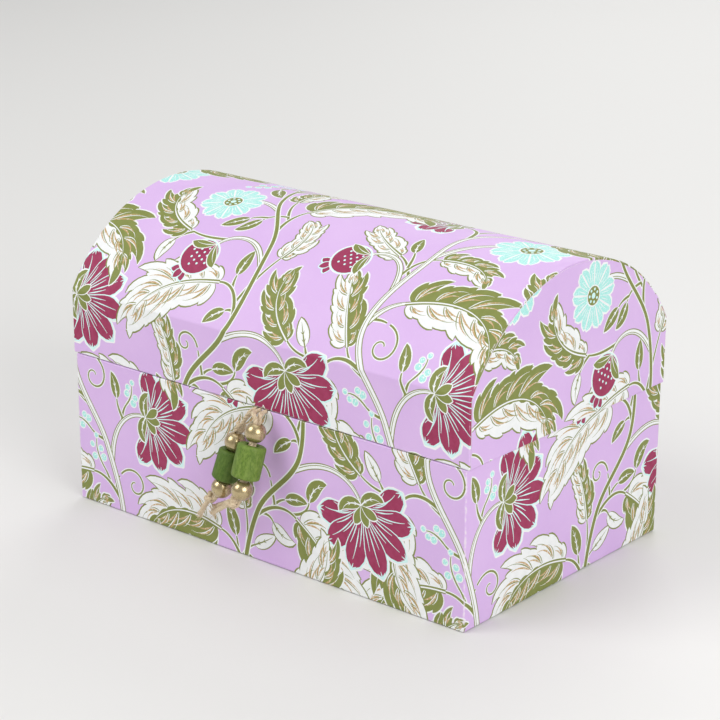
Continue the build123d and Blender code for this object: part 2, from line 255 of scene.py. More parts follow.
# Handmade paper, 0.3 mm thick, printed in six inks on a lilac ground: vines with lobed
# leaves, fan blossoms, rosettes and fruit, in an all-over repeat. Each sheet of the box
# is cut from it, folded round the board and glued down
PAPER = 0.3
GROUND, WHITE, OLIVE, CRIMSON, TURQUOISE, AQUA, TAN, BARE = range(8)
INK_COLOURS = {
    GROUND: (0.655, 0.445, 0.765, 1),
    WHITE: (0.86, 0.87, 0.87, 1),
    OLIVE: (0.205, 0.235, 0.055, 1),
    CRIMSON: (0.34, 0.035, 0.105, 1),
    TURQUOISE: (0.38, 0.77, 0.72, 1),
    AQUA: (0.60, 0.86, 0.84, 1),
    TAN: (0.52, 0.34, 0.15, 1),
    BARE: (0.80, 0.72, 0.80, 1),
}
REPEAT_WIDTH, REPEAT_HEIGHT = 186.0, 164.0
KEY_LINE = 0.45


def inside(points, outline):
    """Which points lie inside a closed outline, by how often it winds round them."""
    x, y = points[:, :1], points[:, 1:]
    ax, ay = outline[:, 0], outline[:, 1]
    bx, by = np.roll(ax, -1), np.roll(ay, -1)
    left = (bx - ax) * (y - ay) - (x - ax) * (by - ay)
    winds = ((ay <= y) & (by > y) & (left > 0)).sum(1) - ((ay > y) & (by <= y) & (left < 0)).sum(1)
    return winds != 0


def bearing(step):
    """The heading of a step on the flat paper, in degrees."""
    return math.degrees(math.atan2(step[1], step[0]))


def smooth_line(points, step=1.2):
    """Points about a step apart on a smooth line through the inner ones of those given."""
    given = np.array(points, float)
    line = []
    for a, b, c, d in zip(given, given[1:], given[2:], given[3:]):
        count = max(2, math.ceil(np.linalg.norm(c - b) / step))
        t = np.linspace(0, 1, count, endpoint=False)[:, None]
        near, far = c - a, 2 * a - 5 * b + 4 * c - d
        line.append(b + 0.5 * (near * t + far * t**2 + (3 * b - a - 3 * c + d) * t**3))
    return np.vstack([*line, given[-2:-1]])


def across(line):
    """Unit vectors square to a line, to its left."""
    along = np.gradient(line, axis=0)
    along /= np.linalg.norm(along, axis=1)[:, None]
    return np.stack([-along[:, 1], along[:, 0]], axis=1)


def band(line, half_width):
    """The outline of a band along a line; its half width may change on the way."""
    side = across(line) * np.broadcast_to(half_width, len(line))[:, None]
    return np.vstack([line + side, (line - side)[::-1]])


def stroke(line, half_width, start=0.6, end=0.15):
    """A brush stroke: it swells early on and thins towards its end."""
    t = np.linspace(0, 1, len(line))
    return band(line, half_width * np.interp(t, [0, 0.35, 1], [start, 1, end]))


def shoot(start, heading, length, curl, step=1.2):
    """A line that leaves a point at a heading and bends by its curl, more towards its end."""
    count = max(4, math.ceil(length / step))
    angle = np.radians(heading + curl * ((np.arange(count) + 0.5) / count) ** 1.6)
    steps = np.stack([np.cos(angle), np.sin(angle)], axis=1) * length / count
    return np.vstack([[start], np.array(start) + np.cumsum(steps, axis=0)])


def petal(base, heading, length, width, curl=0.0, blunt=0.0, belly=0.6, grow=0.0, sharp=0.0):
    """A petal or lobe on a bent middle line, widest at its belly, grown for its outline."""
    line = shoot(base, heading, length + grow, curl, max((length + grow) / 9, 0.8))
    t = np.linspace(0, 1, len(line))
    half = np.sin(math.pi * t ** (math.log(0.5) / math.log(belly))) ** 0.75 * (1 - sharp * t)
    square = blunt * np.clip((1 - t) / 0.18, 0, 1) ** 0.5
    half = np.maximum(half, np.where(t > belly, square, 0)) * width / 2
    half += grow * np.clip(4 * t + 0.3, 0, 1)
    half[-1] = 0.04 + 0.3 * grow
    return band(line, half)


def lobed_leaf(base, heading, length, width, curl, inks=(WHITE, OLIVE), lobes=7):
    """A long curling leaf with pointed lobes, deeply cut, each half in its own ink."""
    rib = shoot(base, heading, length, curl)
    t_rib = np.linspace(0, 1, len(rib))
    outlines, fills, marks = [], [], []
    for side, fill in zip((-1, 1), inks):
        line_ink = OLIVE if fill == WHITE else WHITE
        body = np.sin(math.pi * t_rib.clip(0, 1) ** 0.8).clip(0) * width * 0.13
        fills.append((fill, np.vstack([rib, (rib + side * across(rib) * body[:, None])[::-1]])))
        for lobe in range(lobes):
            t = 0.05 + 0.83 * lobe / (lobes - 1) + (0.035 if side > 0 else 0)
            at = int(t * (len(rib) - 1))
            ahead = bearing(rib[at + 1] - rib[at])
            uneven = 1 + 0.2 * math.sin(2.6 * lobe + side)
            reach = width * 0.66 * uneven * math.sin(math.pi * (0.16 + 0.74 * t)) ** 0.7
            turn = ahead + side * (66 - 34 * t + 7 * math.sin(3.1 * lobe))
            hook = -side * (66 + 18 * math.sin(1.7 * lobe))
            for share, aside in ((1, 0), (0.62, side * 25), (0.6, -side * 19)):
                shape = (rib[at], turn + aside, reach * share, reach * 0.36, hook * share)
                outlines.append((line_ink, petal(*shape, belly=0.42, grow=KEY_LINE, sharp=0.35)))
                fills.append((fill, petal(*shape, belly=0.42, sharp=0.35)))
            for place, (aside, share) in enumerate(((0, 0.86), (7, 0.66), (-8, 0.62), (side * 24, 0.46))):
                vein = shoot(rib[at], turn + aside, reach * share, hook * (0.9 if aside else 1), 1.5)
                if place in (0, 3):
                    marks.append((line_ink, stroke(vein[1:], 0.24)))
                else:
                    marks.append((TAN, stroke(vein[2:], 0.42, 0.3)))
    tip = (rib[-3], bearing(rib[-1] - rib[-2]), width * 0.4, width * 0.16, curl * 0.4)
    outlines.append((OLIVE if inks[1] == WHITE else WHITE, petal(*tip, grow=KEY_LINE, sharp=0.4)))
    fills.append((inks[1], petal(*tip, sharp=0.4)))
    spine = [(OLIVE, stroke(rib, 0.75, 1.2)), (WHITE, stroke(rib + across(rib) * 0.15, 0.3, 1))]
    return outlines + fills + marks + spine


def plain_leaf(base, heading, length, width, curl, ink=OLIVE, line_ink=WHITE):
    """A small pointed leaf with a light outline, a middle vein and side veins."""
    rib = shoot(base, heading, length * 0.86, curl)
    shape = (base, heading, length, width, curl)
    made = [(line_ink, petal(*shape, belly=0.42, grow=KEY_LINE)), (ink, petal(*shape, belly=0.42))]
    for at in range(2, len(rib) - 3, 3):
        ahead = bearing(rib[at + 1] - rib[at])
        for side in (-1, 1):
            vein = shoot(rib[at], ahead + side * 38, width * 0.3, -side * 20)
            made.append((line_ink, stroke(vein, 0.2)))
    return made + [(line_ink, stroke(rib, 0.3, 1))]


def fan_blossom(base, heading, size, petals=7, opening=78):
    """A large crimson blossom seen from its side, with its petals spread like a fan."""
    middle = (petals - 1) / 2
    shapes = []
    for place in sorted(range(petals), key=lambda place: -abs(place - middle)):
        off = (place - middle) / middle
        reach = size * (1 - 0.22 * abs(off) ** 1.5)
        shapes.append((base, heading + off * opening, reach, size * 0.34, off * 46))
    made = [(WHITE, petal(*shape, blunt=0.5, belly=0.7, grow=1.1)) for shape in shapes]
    for shape in shapes:
        _, turn, reach, _, curl = shape
        made.append((AQUA, petal(*shape, blunt=0.5, belly=0.7, grow=0.5)))
        made.append((CRIMSON, petal(*shape, blunt=0.5, belly=0.7)))
        for share, aside in ((0.84, 0), (0.62, 8), (0.62, -8)):
            vein = shoot(base, turn + aside, reach * share, curl)
            made.append((AQUA, stroke(vein[int(len(vein) * 0.4):], 0.3, 0.3, 0.3)))
        tip = shoot(base, turn, reach, curl)[-1]
        for aside in (-40, 0, 40):
            notch = shoot(tip, turn + curl + 180 + aside, size * 0.1, 0, 0.8)
            made.append((AQUA, stroke(notch, 0.34, 1, 0.2)))
    for side in (-1, 1):
        made += plain_leaf(base, heading + side * 118, size * 0.44, size * 0.17, -side * 80)
    for aside in (-36, 0, 36):
        sepal = (base, heading + aside, size * 0.3, size * 0.13, aside * 0.5)
        made += [(WHITE, petal(*sepal, grow=0.4)), (OLIVE, petal(*sepal))]
    return made


def ring(centre, radius, count=18):
    """A round dot."""
    angle = np.linspace(0, 2 * math.pi, count, endpoint=False)
    return np.array(centre) + radius * np.stack([np.cos(angle), np.sin(angle)], axis=1)


def rosette(centre, heading, size, petals=9):
    """A round turquoise flower with double-tipped petals and a seeded olive middle."""
    made = []
    for grow, ink in ((0.6, WHITE), (0, TURQUOISE)):
        for place in range(petals):
            turn = heading + 360 * place / petals
            for aside in (-10, 10):
                shape = (centre, turn + aside, size / 2, size * 0.17, aside * 1.6)
                made.append((ink, petal(*shape, blunt=0.5, belly=0.74, grow=grow)))
    for place in range(petals):
        turn = heading + 360 * (place + 0.5) / petals
        gap = shoot(centre, turn, size * 0.46, 0)
        made.append((WHITE, stroke(gap[int(len(gap) * 0.35):], 0.42, 0.5, 1)))
        for aside in (-20, 0, 20):
            vein = shoot(centre, turn + 180 / petals + aside * 0.5, size * 0.38, 0)
            made.append((WHITE, stroke(vein[int(len(vein) * 0.55):], 0.2, 0.3, 0.3)))
    made += [(WHITE, ring(centre, size * 0.16)), (OLIVE, ring(centre, size * 0.14))]
    for place in range(7):
        angle = math.radians(heading + 360 * place / 7)
        seed = np.array(centre) + size * 0.095 * np.array([math.cos(angle), math.sin(angle)])
        made.append((AQUA, ring(seed, size * 0.022, 9)))
    return made + [(AQUA, ring(centre, size * 0.045, 12))]


def pomegranate(base, heading, size):
    """A crimson fruit with a crown and rows of seeds, held in two sepals."""
    ahead = np.array([math.cos(math.radians(heading)), math.sin(math.radians(heading))])
    aside = np.array([-ahead[1], ahead[0]])
    middle = np.array(base) + ahead * size * 0.42
    made = []
    for place in (-1, 1, 0):
        crown = (middle + ahead * size * 0.34, heading + place * 30, size * 0.34, size * 0.16)
        made += [(AQUA, petal(*crown, place * 30, grow=0.45)), (CRIMSON, petal(*crown, place * 30))]
    for grow, ink in ((0.95, WHITE), (0.45, AQUA), (0, CRIMSON)):
        made.append((ink, ring(middle, size * 0.42 + grow, 26)))
    for row in range(-2, 3):
        for column in range(-2, 3):
            if abs(row) + abs(column) <= 2:
                seed = middle + (aside * column + ahead * row) * size * 0.13
                made.append((AQUA, ring(seed, size * 0.028, 8)))
    for side in (-1, 1):
        sepal = (base, heading + side * 42, size * 0.62, size * 0.2, side * 34)
        made += [(WHITE, petal(*sepal, grow=0.4)), (OLIVE, petal(*sepal))]
        vein = shoot(base, heading + side * 42, size * 0.5, side * 34)
        made.append((WHITE, stroke(vein, 0.22)))
    return made


def light_stem(line, half=0.95):
    """A white stem between two olive key lines, with a thin line to one side."""
    inner = line[1:-1] + across(line[1:-1]) * half * 0.3
    return [(OLIVE, stroke(line, half + 0.42, 1, 0.6)), (WHITE, stroke(line, half, 1, 0.55)),
            (OLIVE, stroke(inner, 0.15, 1, 0.6))]


def dark_stem(line, half=0.7):
    """An olive stem with a white outline."""
    return [(WHITE, stroke(line, half + 0.5, 1, 0.65)), (OLIVE, stroke(line, half, 1, 0.55))]


def tendril(start, heading, size, side):
    """A thin shoot that winds into a small spiral."""
    turns = np.linspace(0, 1, 34)
    angle = np.radians(heading + side * 430 * turns**1.2)
    steps = np.stack([np.cos(angle), np.sin(angle)], axis=1)
    line = np.array(start) + np.cumsum(steps * (size * 0.15 * (1 - 0.8 * turns))[:, None], axis=0)
    return [(WHITE, stroke(line, 0.8, 1, 0.7)), (OLIVE, stroke(line, 0.4, 1, 0.6))]


def berries(base, heading, size, side):
    """Five round berries on a short bent twig."""
    twig = shoot(base, heading, size, side * 50)
    made = dark_stem(twig, 0.35)
    for place in range(5):
        at = int((0.25 + 0.18 * place) * (len(twig) - 1))
        turn = heading + side * 50 * (at / len(twig)) ** 1.6
        turn += (70 if place % 2 else -70) * (place < 4)
        top = twig[at] + 2.6 * np.array([math.cos(math.radians(turn)), math.sin(math.radians(turn))])
        radius = 1.5 - 0.12 * place
        made += [(WHITE, ring(top, radius + 0.45, 14)), (TURQUOISE, ring(top, radius, 14))]
        made.append((WHITE, ring(top + (0.35, 0.4), radius * 0.25, 7)))
    return made


# A repeat of the print holds two climbing vines. Each row is a side shoot: its share of the
# way up its vine, its side, its length and curl, whether it is dark, and what it carries
LEFT_VINE = [(18, -24), (36, 8), (28, 44), (10, 76), (16, 112), (18, 140), (36, 172), (28, 208)]
RIGHT_VINE = [(112, -30), (104, 2), (112, 38), (134, 66), (132, 104), (112, 134), (104, 166), (112, 202)]
SHOOTS = {
    "left": [
        (0.08, 1, 20, 60, True, lobed_leaf, 44, 30, 80),
        (0.17, -1, 36, 95, False, fan_blossom, 27),
        (0.33, 1, 24, 110, True, lobed_leaf, 44, 30, 70, (OLIVE, WHITE)),
        (0.44, -1, 18, 50, False, lobed_leaf, 54, 32, -95),
        (0.54, 1, 32, 120, False, pomegranate, 19),
        (0.66, -1, 40, 66, False, rosette, 31),
        (0.78, 1, 26, 90, True, fan_blossom, 22),
        (0.90, -1, 16, 40, True, lobed_leaf, 48, 32, 90, (OLIVE, OLIVE)),
    ],
    "right": [
        (0.05, 1, 20, 60, True, lobed_leaf, 48, 32, 85),
        (0.19, -1, 24, 80, True, lobed_leaf, 50, 32, -75, (OLIVE, WHITE)),
        (0.36, -1, 40, 100, False, fan_blossom, 29),
        (0.42, 1, 22, 90, True, lobed_leaf, 46, 32, 60, (WHITE, WHITE)),
        (0.55, 1, 34, 120, False, pomegranate, 20),
        (0.66, -1, 18, 40, True, lobed_leaf, 54, 34, -90),
        (0.76, 1, 26, 80, False, rosette, 27),
        (0.90, -1, 26, 70, True, lobed_leaf, 42, 28, 80, (OLIVE, WHITE)),
    ],
}
FILLING_CELL = 1.5
FILLING_TRIES = 1600
FILLING_SEED = 11


def cells_of(shapes):
    """The cells of a repeat's grid that some shapes cover."""
    found = set()
    columns, rows = round(REPEAT_WIDTH / FILLING_CELL), round(REPEAT_HEIGHT / FILLING_CELL)
    for _, outline in shapes:
        cells = np.round(outline / FILLING_CELL)
        low, high = cells.min(0), cells.max(0)
        if (high - low).min() > 3:
            x, y = np.meshgrid(np.arange(low[0], high[0] + 1), np.arange(low[1], high[1] + 1))
            within = np.stack([x.ravel(), y.ravel()], axis=1)
            cells = np.vstack([cells, within[inside(within * FILLING_CELL, outline)]])
        found |= {(column % columns, row % rows) for column, row in cells.astype(int).tolist()}
    return found


def fill_gaps(lines, taken):
    """Grows small leaves, tendrils and berries from the stems wherever there is room."""
    chance = np.random.default_rng(FILLING_SEED)
    grown = []
    for attempt in range(FILLING_TRIES):
        line = lines[chance.integers(len(lines))]
        at = chance.integers(1, len(line) - 2)
        side = chance.choice((-1, 1))
        heading = bearing(line[at + 1] - line[at]) + side * chance.uniform(25, 60)
        big = attempt < FILLING_TRIES * 0.4
        length = chance.uniform(14, 26) if big else chance.uniform(4, 12)
        twig = shoot(line[at], heading, length, side * chance.uniform(-40, 80))
        ahead = bearing(twig[-1] - twig[-2])
        kind = chance.integers(4)
        size = chance.uniform(22, 34) if big else chance.uniform(11, 17)
        curl = side * chance.uniform(-80, 80)
        room = cells_of([(0, band(shoot(twig[-1], ahead, size, curl), size * 0.2))])
        if len(room & taken) > 0.1 * len(room):
            continue
        if big:
            inks = ((WHITE, OLIVE), (OLIVE, WHITE), (OLIVE, OLIVE), (WHITE, WHITE))[kind]
            tip = lobed_leaf(twig[-1], ahead, size, size * 0.66, curl, inks, 5)
        elif kind == 0:
            tip = tendril(twig[-1], ahead, size * 0.7, side)
        elif kind == 1:
            tip = berries(twig[-1], ahead, size * 0.8, side)
        else:
            inks = (WHITE, OLIVE) if chance.integers(3) == 0 else (OLIVE, WHITE)
            tip = plain_leaf(twig[-1], ahead, size, size * 0.42, curl, *inks)
        if len(cells_of(tip) & taken) < 0.14 * len(cells_of(tip)):
            stem = dark_stem(twig, 0.55)
            taken |= cells_of(tip + stem)
            grown.append((stem, tip))
            lines.append(twig)
    return grown


def print_repeat():
    """One repeat of the print: inks and outlines, from the lowest layer up."""
    stems, carried, lines = [], [], []
    for side_name, points in (("left", LEFT_VINE), ("right", RIGHT_VINE)):
        vine = smooth_line(points)
        lines.append(vine)
        for share, side, length, curl, dark, kind, *sizes in SHOOTS[side_name]:
            at = int(share * (len(vine) - 1))
            line = shoot(vine[at], bearing(vine[at + 1] - vine[at]) + side * 24, length, side * curl)
            lines.append(line)
            stems += dark_stem(line) if dark else light_stem(line)
            carried += kind(line[-1], bearing(line[-1] - line[-2]), *sizes)
        stems += light_stem(vine, 1.15) if side_name == "left" else dark_stem(vine, 1.0)
    grown = fill_gaps(lines, cells_of(stems + carried))
    small_stems = [shape for stem, _ in grown for shape in stem]
    small_tips = [shape for _, tip in grown for shape in tip]
    return small_stems + small_tips + stems + carried


PRINT_REPEAT = print_repeat()


def seen_sides(shapes, width, height):
    """Which sides of each shape's outline no later shape covers, in an endless repeat."""
    boxes = np.array([[*outline.min(0), *outline.max(0)] for _, outline in shapes])
    seen = []
    for place, (_, outline) in enumerate(shapes):
        shown = np.ones(len(outline), bool)
        for aside in (-width, 0, width):
            for up in (-height, 0, height):
                moved = boxes[place + 1:] + (aside, up, aside, up)
                near = (moved[:, :2] < boxes[place, 2:]).all(1) & (moved[:, 2:] > boxes[place, :2]).all(1)
                for other in np.flatnonzero(near) + place + 1:
                    covered = inside(outline - (aside, up), shapes[other][1])
                    shown &= ~(covered & np.roll(covered, -1))
        seen.append(shown)
    return seen


SEEN_SIDES = seen_sides(PRINT_REPEAT, REPEAT_WIDTH, REPEAT_HEIGHT)


def printed(low, high):
    """The print over a rectangle of paper, from copies of its repeat."""
    columns = range(math.floor(low[0] / REPEAT_WIDTH) - 1, math.ceil(high[0] / REPEAT_WIDTH) + 1)
    rows = range(math.floor(low[1] / REPEAT_HEIGHT) - 1, math.ceil(high[1] / REPEAT_HEIGHT) + 1)
    for (ink, outline), shown in zip(PRINT_REPEAT, SEEN_SIDES):
        for column in columns:
            for row in rows:
                moved = outline + (column * REPEAT_WIDTH, row * REPEAT_HEIGHT)
                if (moved.max(0) > low).all() and (moved.min(0) < high).all():
                    yield ink, moved, shown


def keep_on_points(piece, name, kind, values):
    """Stores one value for each of a piece's points."""
    field = {"FLOAT": "value", "FLOAT_VECTOR": "vector"}[kind]
    piece.data.attributes.new(name, kind, "POINT").data.foreach_set(field, np.ravel(values))


def triangles(points, sides):
    """Points and triangles that keep the given sides, and which given point each one was."""
    made, _, faces, origins, _, _ = geometry.delaunay_2d_cdt(
        [Vector(point) for point in points], [tuple(map(int, side)) for side in sides], [], 0, 1e-5, True)
    return np.array([tuple(point) for point in made]), np.array([list(f) for f in faces]), origins


def chain(sides):
    """A closed loop of points from its directed sides."""
    after = dict(sides)
    loop = [sides[0][0]]
    while after[loop[-1]] != loop[0]:
        loop.append(after[loop[-1]])
    return loop


# A sheet's own chart for the bake: its face, a narrow copy of it for the back, and a strip
# along one side for the cut edge. Each has a size and a place to start
FACE_CHART = ((0.92, 0.98), (0.01, 0.01))
BACK_CHART = ((0.04, 0.98), (0.94, 0.01))
EDGE_CHART = ((1, 0.98), (0, 0.01))
EDGE_STRIP = (0.985, 0.997)
CREASE_REACH = 0.02


def lay_out(outline, creases, cut_at):
    """The flat points and sides that a sheet needs, and the printed shapes that lie on it."""
    count = len(outline)
    points = [outline]
    sides = [np.stack([np.arange(count), (np.arange(count) + 1) % count], axis=1)]
    for line in creases:
        points.append(np.array(line, float))
        sides.append(np.array([[count, count + 1]]))
        count += 2
    shapes = []
    if cut_at is not None:
        shift = np.array(cut_at, float)
        for ink, moved, shown in printed(outline.min(0) + shift, outline.max(0) + shift):
            moved = moved - shift
            shapes.append((ink, moved))
            needed = shown | np.roll(shown, 1)
            number = np.cumsum(needed) - 1 + count
            sides.append(np.stack([number, np.roll(number, -1)], axis=1)[shown])
            points.append(moved[needed])
            count += needed.sum()
    return np.vstack(points), np.vstack(sides), shapes


def inks_at(places, shapes):
    """The uppermost ink at each of some places on the flat sheet."""
    inks = np.full(len(places), GROUND)
    order = np.argsort(places[:, 0])
    ordered = places[order]
    for ink, outline in shapes:
        first, last = np.searchsorted(ordered[:, 0], (outline[:, 0].min(), outline[:, 0].max()))
        near = ordered[first:last, 1]
        near = first + np.flatnonzero((near > outline[:, 1].min()) & (near < outline[:, 1].max()))
        if len(near):
            inks[order[near[inside(ordered[near], outline)]]] = ink
    return inks


def rim_of(faces):
    """The closed loop of points round a sheet of triangles."""
    directed = np.vstack([faces[:, [0, 1]], faces[:, [1, 2]], faces[:, [2, 0]]]).tolist()
    known = set(map(tuple, directed))
    return chain([side for side in map(tuple, directed) if side[::-1] not in known])


def back_of(rim_points, creases, outline):
    """A sheet's plain back: points, triangles, and the point that each rim point became."""
    count = len(rim_points)
    sides = [(at, (at + 1) % count) for at in range(count)]
    for line in creases:
        ends = [int(np.argmin(np.linalg.norm(rim_points - end, axis=1))) for end in line]
        if all(np.linalg.norm(rim_points[at] - end) < CREASE_REACH for at, end in zip(ends, line)):
            sides.append(tuple(ends))
    flat, faces, origins = triangles(rim_points, sides)
    became = {given: made for made, given_here in enumerate(origins) for given in given_here}
    return flat, faces[inside(flat[faces].mean(1), outline)], [became[at] for at in range(count)]


def fold(place, flat, depth, other_depth):
    """The folded points of a sheet's face at one depth, and the ways away from the other."""
    here, beyond = (place(*flat.T, np.full(len(flat), deep)) for deep in (depth, other_depth))
    ways = here - beyond
    return here, ways / np.linalg.norm(ways, axis=1)[:, None]


def face_ways(mesh, ways, flats):
    """Turns the corners of a sheet's triangles to the given ways; its cut edge stays flat."""
    edge_ways = np.empty(len(mesh.polygons) * 3)
    mesh.polygons.foreach_get("normal", edge_ways)
    ways[3 * flats:] = edge_ways.reshape(-1, 3)[flats:].repeat(4, axis=0)
    mesh.shade_smooth()
    mesh.normals_split_custom_set(ways.tolist())


def chart_sheet(mesh, spots, fronts, flats, flip):
    """Charts a sheet for the bake, from where each corner lies on the flat sheet."""
    chart = np.array(spots)
    for part, (size, shift) in (
        (slice(0, 3 * fronts), FACE_CHART), (slice(3 * fronts, 3 * flats), BACK_CHART),
    ):
        chart[part] = chart[part] * size + shift
    rim_count = len(mesh.polygons) - flats
    ends = np.arange(rim_count + 1) / rim_count
    near, far = EDGE_STRIP
    edge = np.stack([
        np.stack([np.full(rim_count, x), y], axis=1)
        for x, y in ((near, ends[:-1]), (far, ends[:-1]), (far, ends[1:]), (near, ends[1:]))
    ], axis=1)
    edge = edge[:, ::-1] if flip else edge
    size, shift = EDGE_CHART
    chart[3 * flats:] = edge.reshape(-1, 2) * size + shift
    mesh.uv_layers.new(name="OFBake").data.foreach_set("uv", chart.ravel())


def cut_sheet(name, outline, creases, place, cut_at=None, worn=None, finish=None, thick=PAPER):
    """A sheet cut to a flat outline, printed from where it was cut, and folded.

    Creases are straight lines across the flat sheet. place gives the point of the folded
    sheet for a flat point and a depth below its face, in millimetres. worn gives how far
    a fold has rubbed each flat point. The face carries the print; the back is coarser."""
    outline = np.asarray(outline, float)
    points, sides, shapes = lay_out(outline, creases, cut_at)
    flat, faces, _ = triangles(points, sides)
    faces = faces[inside(flat[faces].mean(1), outline)]
    inks = inks_at(flat[faces].mean(1), shapes)
    used, faces_used = np.unique(faces, return_inverse=True)
    flat, faces = flat[used], faces_used.reshape(faces.shape)
    rim = rim_of(faces)
    back_flat, back_faces, rim_back = back_of(flat[rim], creases, outline)

    front, front_ways = fold(place, flat, 0.0, thick)
    back, back_ways = fold(place, back_flat, thick, 0.0)
    corners = front[faces]
    turned = np.cross(corners[:, 1] - corners[:, 0], corners[:, 2] - corners[:, 0])
    flip = (turned * front_ways[faces].mean(1)).sum() < 0
    low, high = rim, [len(front) + at for at in rim_back]
    edge = [(low[at - 1], high[at - 1], high[at], low[at]) for at in range(1, len(rim))]
    edge.append((low[-1], high[-1], high[0], low[0]))
    all_faces = faces.tolist() + (back_faces[:, ::-1] + len(front)).tolist() + edge
    if flip:
        all_faces = [face[::-1] for face in all_faces]
    piece = make_piece(name, np.vstack([front, back]), all_faces, finish)
    mesh = piece.data

    bare = np.full(len(all_faces) - len(inks), BARE)
    ink_field = mesh.attributes.new("ink", "FLOAT", "FACE")
    ink_field.data.foreach_set("value", np.append(inks, bare).astype(float))
    rubbed = worn(*flat.T) if worn else np.zeros(len(flat))
    keep_on_points(piece, "wear", "FLOAT", np.append(rubbed, np.zeros(len(back))))
    used_by = np.empty(len(mesh.loops), int)
    mesh.loops.foreach_get("vertex_index", used_by)
    flats = len(faces) + len(back_faces)
    face_ways(mesh, np.vstack([front_ways, back_ways])[used_by], flats)
    start, size = outline.min(0), np.ptp(outline, axis=0)
    spots = (np.vstack([flat, back_flat])[used_by] - start) / size
    chart_sheet(mesh, spots, len(faces), flats, flip)
    return piece


edge_rub, rub_in, rub_out = start_group("edge_rub", {"Wear": 0.0, "Patch": 2.0}, ["Mask"])
broken = noise(edge_rub, object_place(edge_rub), rub_in["Patch"], 4.0, 0.5)
rubbed = add_node(
    edge_rub, "ShaderNodeMath", {0: rub_in["Wear"], 1: broken}, operation="MULTIPLY").outputs[0]
edge_rub.links.new(spread(edge_rub, rubbed, 0.36, 0.56, 0.0, 0.8), rub_out["Mask"])

printed_finish = new_finish("printed_paper", roughness=0.62, specular_ior_level=0.35)
tree = printed_finish.node_tree
ink_here, rubbed_here = kept_value(tree, "ink"), kept_value(tree, "wear")
where = object_place(tree)
tooth = place_group(tree, paper_tooth, {"Grain": 0.4, "Fibre": 1.5, "Cloud": 26.0})
mottle = noise(tree, where, 3.0, 4.0)
specks = noise(tree, where, 0.55, 2.0)
dry = noise(tree, where, 1.1, 3.0, 0.7)


def masked(ink):
    """Where one ink is."""
    return add_node(
        tree, "ShaderNodeMath", {0: ink_here, 1: float(ink), 2: 0.5}, operation="COMPARE").outputs[0]


PALE_GROUND = (0.685, 0.475, 0.785, 1)
FIBRE_COLOUR = (0.80, 0.66, 0.86, 1)
cloudy = spread(tree, tooth["Cloud"], 0.35, 0.65)
colour = mix_colours(tree, cloudy, INK_COLOURS[GROUND], PALE_GROUND)
colour = mix_colours(tree, maths(tree, "MULTIPLY", tooth["Fibres"], 0.12), colour, FIBRE_COLOUR)
worked = {
    WHITE: (spread(tree, mottle, 0.35, 0.7, 0.0, 0.7), (0.78, 0.80, 0.80, 1)),
    OLIVE: (spread(tree, mottle, 0.4, 0.75, 0.0, 0.6), (0.265, 0.295, 0.09, 1)),
    CRIMSON: (spread(tree, mottle, 0.4, 0.7, 0.0, 0.6), (0.27, 0.022, 0.07, 1)),
    TURQUOISE: (spread(tree, specks, 0.55, 0.62), (0.66, 0.90, 0.88, 1)),
    AQUA: (spread(tree, mottle, 0.4, 0.7, 0.0, 0.5), (0.70, 0.90, 0.89, 1)),
    TAN: (spread(tree, dry, 0.5, 0.62, 0.0, 0.75), (0.78, 0.74, 0.66, 1)),
    BARE: (spread(tree, mottle, 0.4, 0.7, 0.0, 0.4), (0.86, 0.80, 0.84, 1)),
}
for ink, (share, second) in worked.items():
    inked = mix_colours(tree, share, INK_COLOURS[ink], second)
    colour = mix_colours(tree, masked(ink), colour, inked)
rub = place_group(tree, edge_rub, {"Wear": rubbed_here, "Patch": 2.2})
colour = mix_colours(tree, rub["Mask"], colour, INK_COLOURS[BARE])
roughness = spread(tree, mottle, 0.3, 0.7, 0.52, 0.68)
wire_shader(printed_finish, colour, roughness, tooth["Height"], 0.035)

SMALL_TURN_STEP = 22.5
DOME_STEP = 3.0
DOME_FROM = 10
RUB_REACH = 1.3


def fold_path(start, heading, *steps):
    """A sheet's face in section: a run's length or a right-hand turn's (radius, degrees).

    Gives a function from lengths along the face to its points and the ways in, and the
    lengths at which the sheet needs a line across it."""
    pieces, stops, gone = [], [0.0], 0.0
    spot, angle = np.array(start, float), math.radians(heading)
    for step in steps:
        ahead = np.array([math.cos(angle), math.sin(angle)])
        inward = np.array([ahead[1], -ahead[0]])
        if isinstance(step, tuple):
            radius, turn = step[0], math.radians(step[1])
            centre = spot + inward * radius
            pieces.append((gone, radius, centre, angle))
            length = radius * turn
            angle -= turn
            spot = centre - radius * np.array([math.sin(angle), -math.cos(angle)])
            parts = max(2, math.ceil(step[1] / (SMALL_TURN_STEP if radius < DOME_FROM else DOME_STEP)))
        else:
            pieces.append((gone, 0, spot, angle))
            length, parts = step, 1
            spot = spot + ahead * step
        stops += [gone + length * (part + 1) / parts for part in range(parts)]
        gone += length

    def locate(lengths):
        spots, ways = np.zeros((len(lengths), 2)), np.zeros((len(lengths), 2))
        starts = [piece[0] for piece in pieces]
        which = np.clip(np.searchsorted(starts, lengths, side="right") - 1, 0, None)
        for number, (begin, radius, anchor, angle) in enumerate(pieces):
            chosen = which == number
            past = lengths[chosen] - begin
            turned = angle - past / radius if radius else np.full(chosen.sum(), angle)
            inward = np.stack([np.sin(turned), -np.cos(turned)], axis=1)
            ahead = np.stack([np.cos(turned), np.sin(turned)], axis=1)
            spots[chosen] = anchor - radius * inward if radius else anchor + ahead * past[:, None]
            ways[chosen] = inward
        return spots, ways

    return locate, stops


def max_of(arrays):
    """The largest of several arrays, place by place."""
    return np.maximum.reduce(arrays)


def rubbed_near(values, lines):
    """How far a sheet is rubbed at some places: fully on these lines, fading out beside them."""
    return max_of([np.clip(1 - np.abs(values - line) / RUB_REACH, 0, 1) for line in lines])


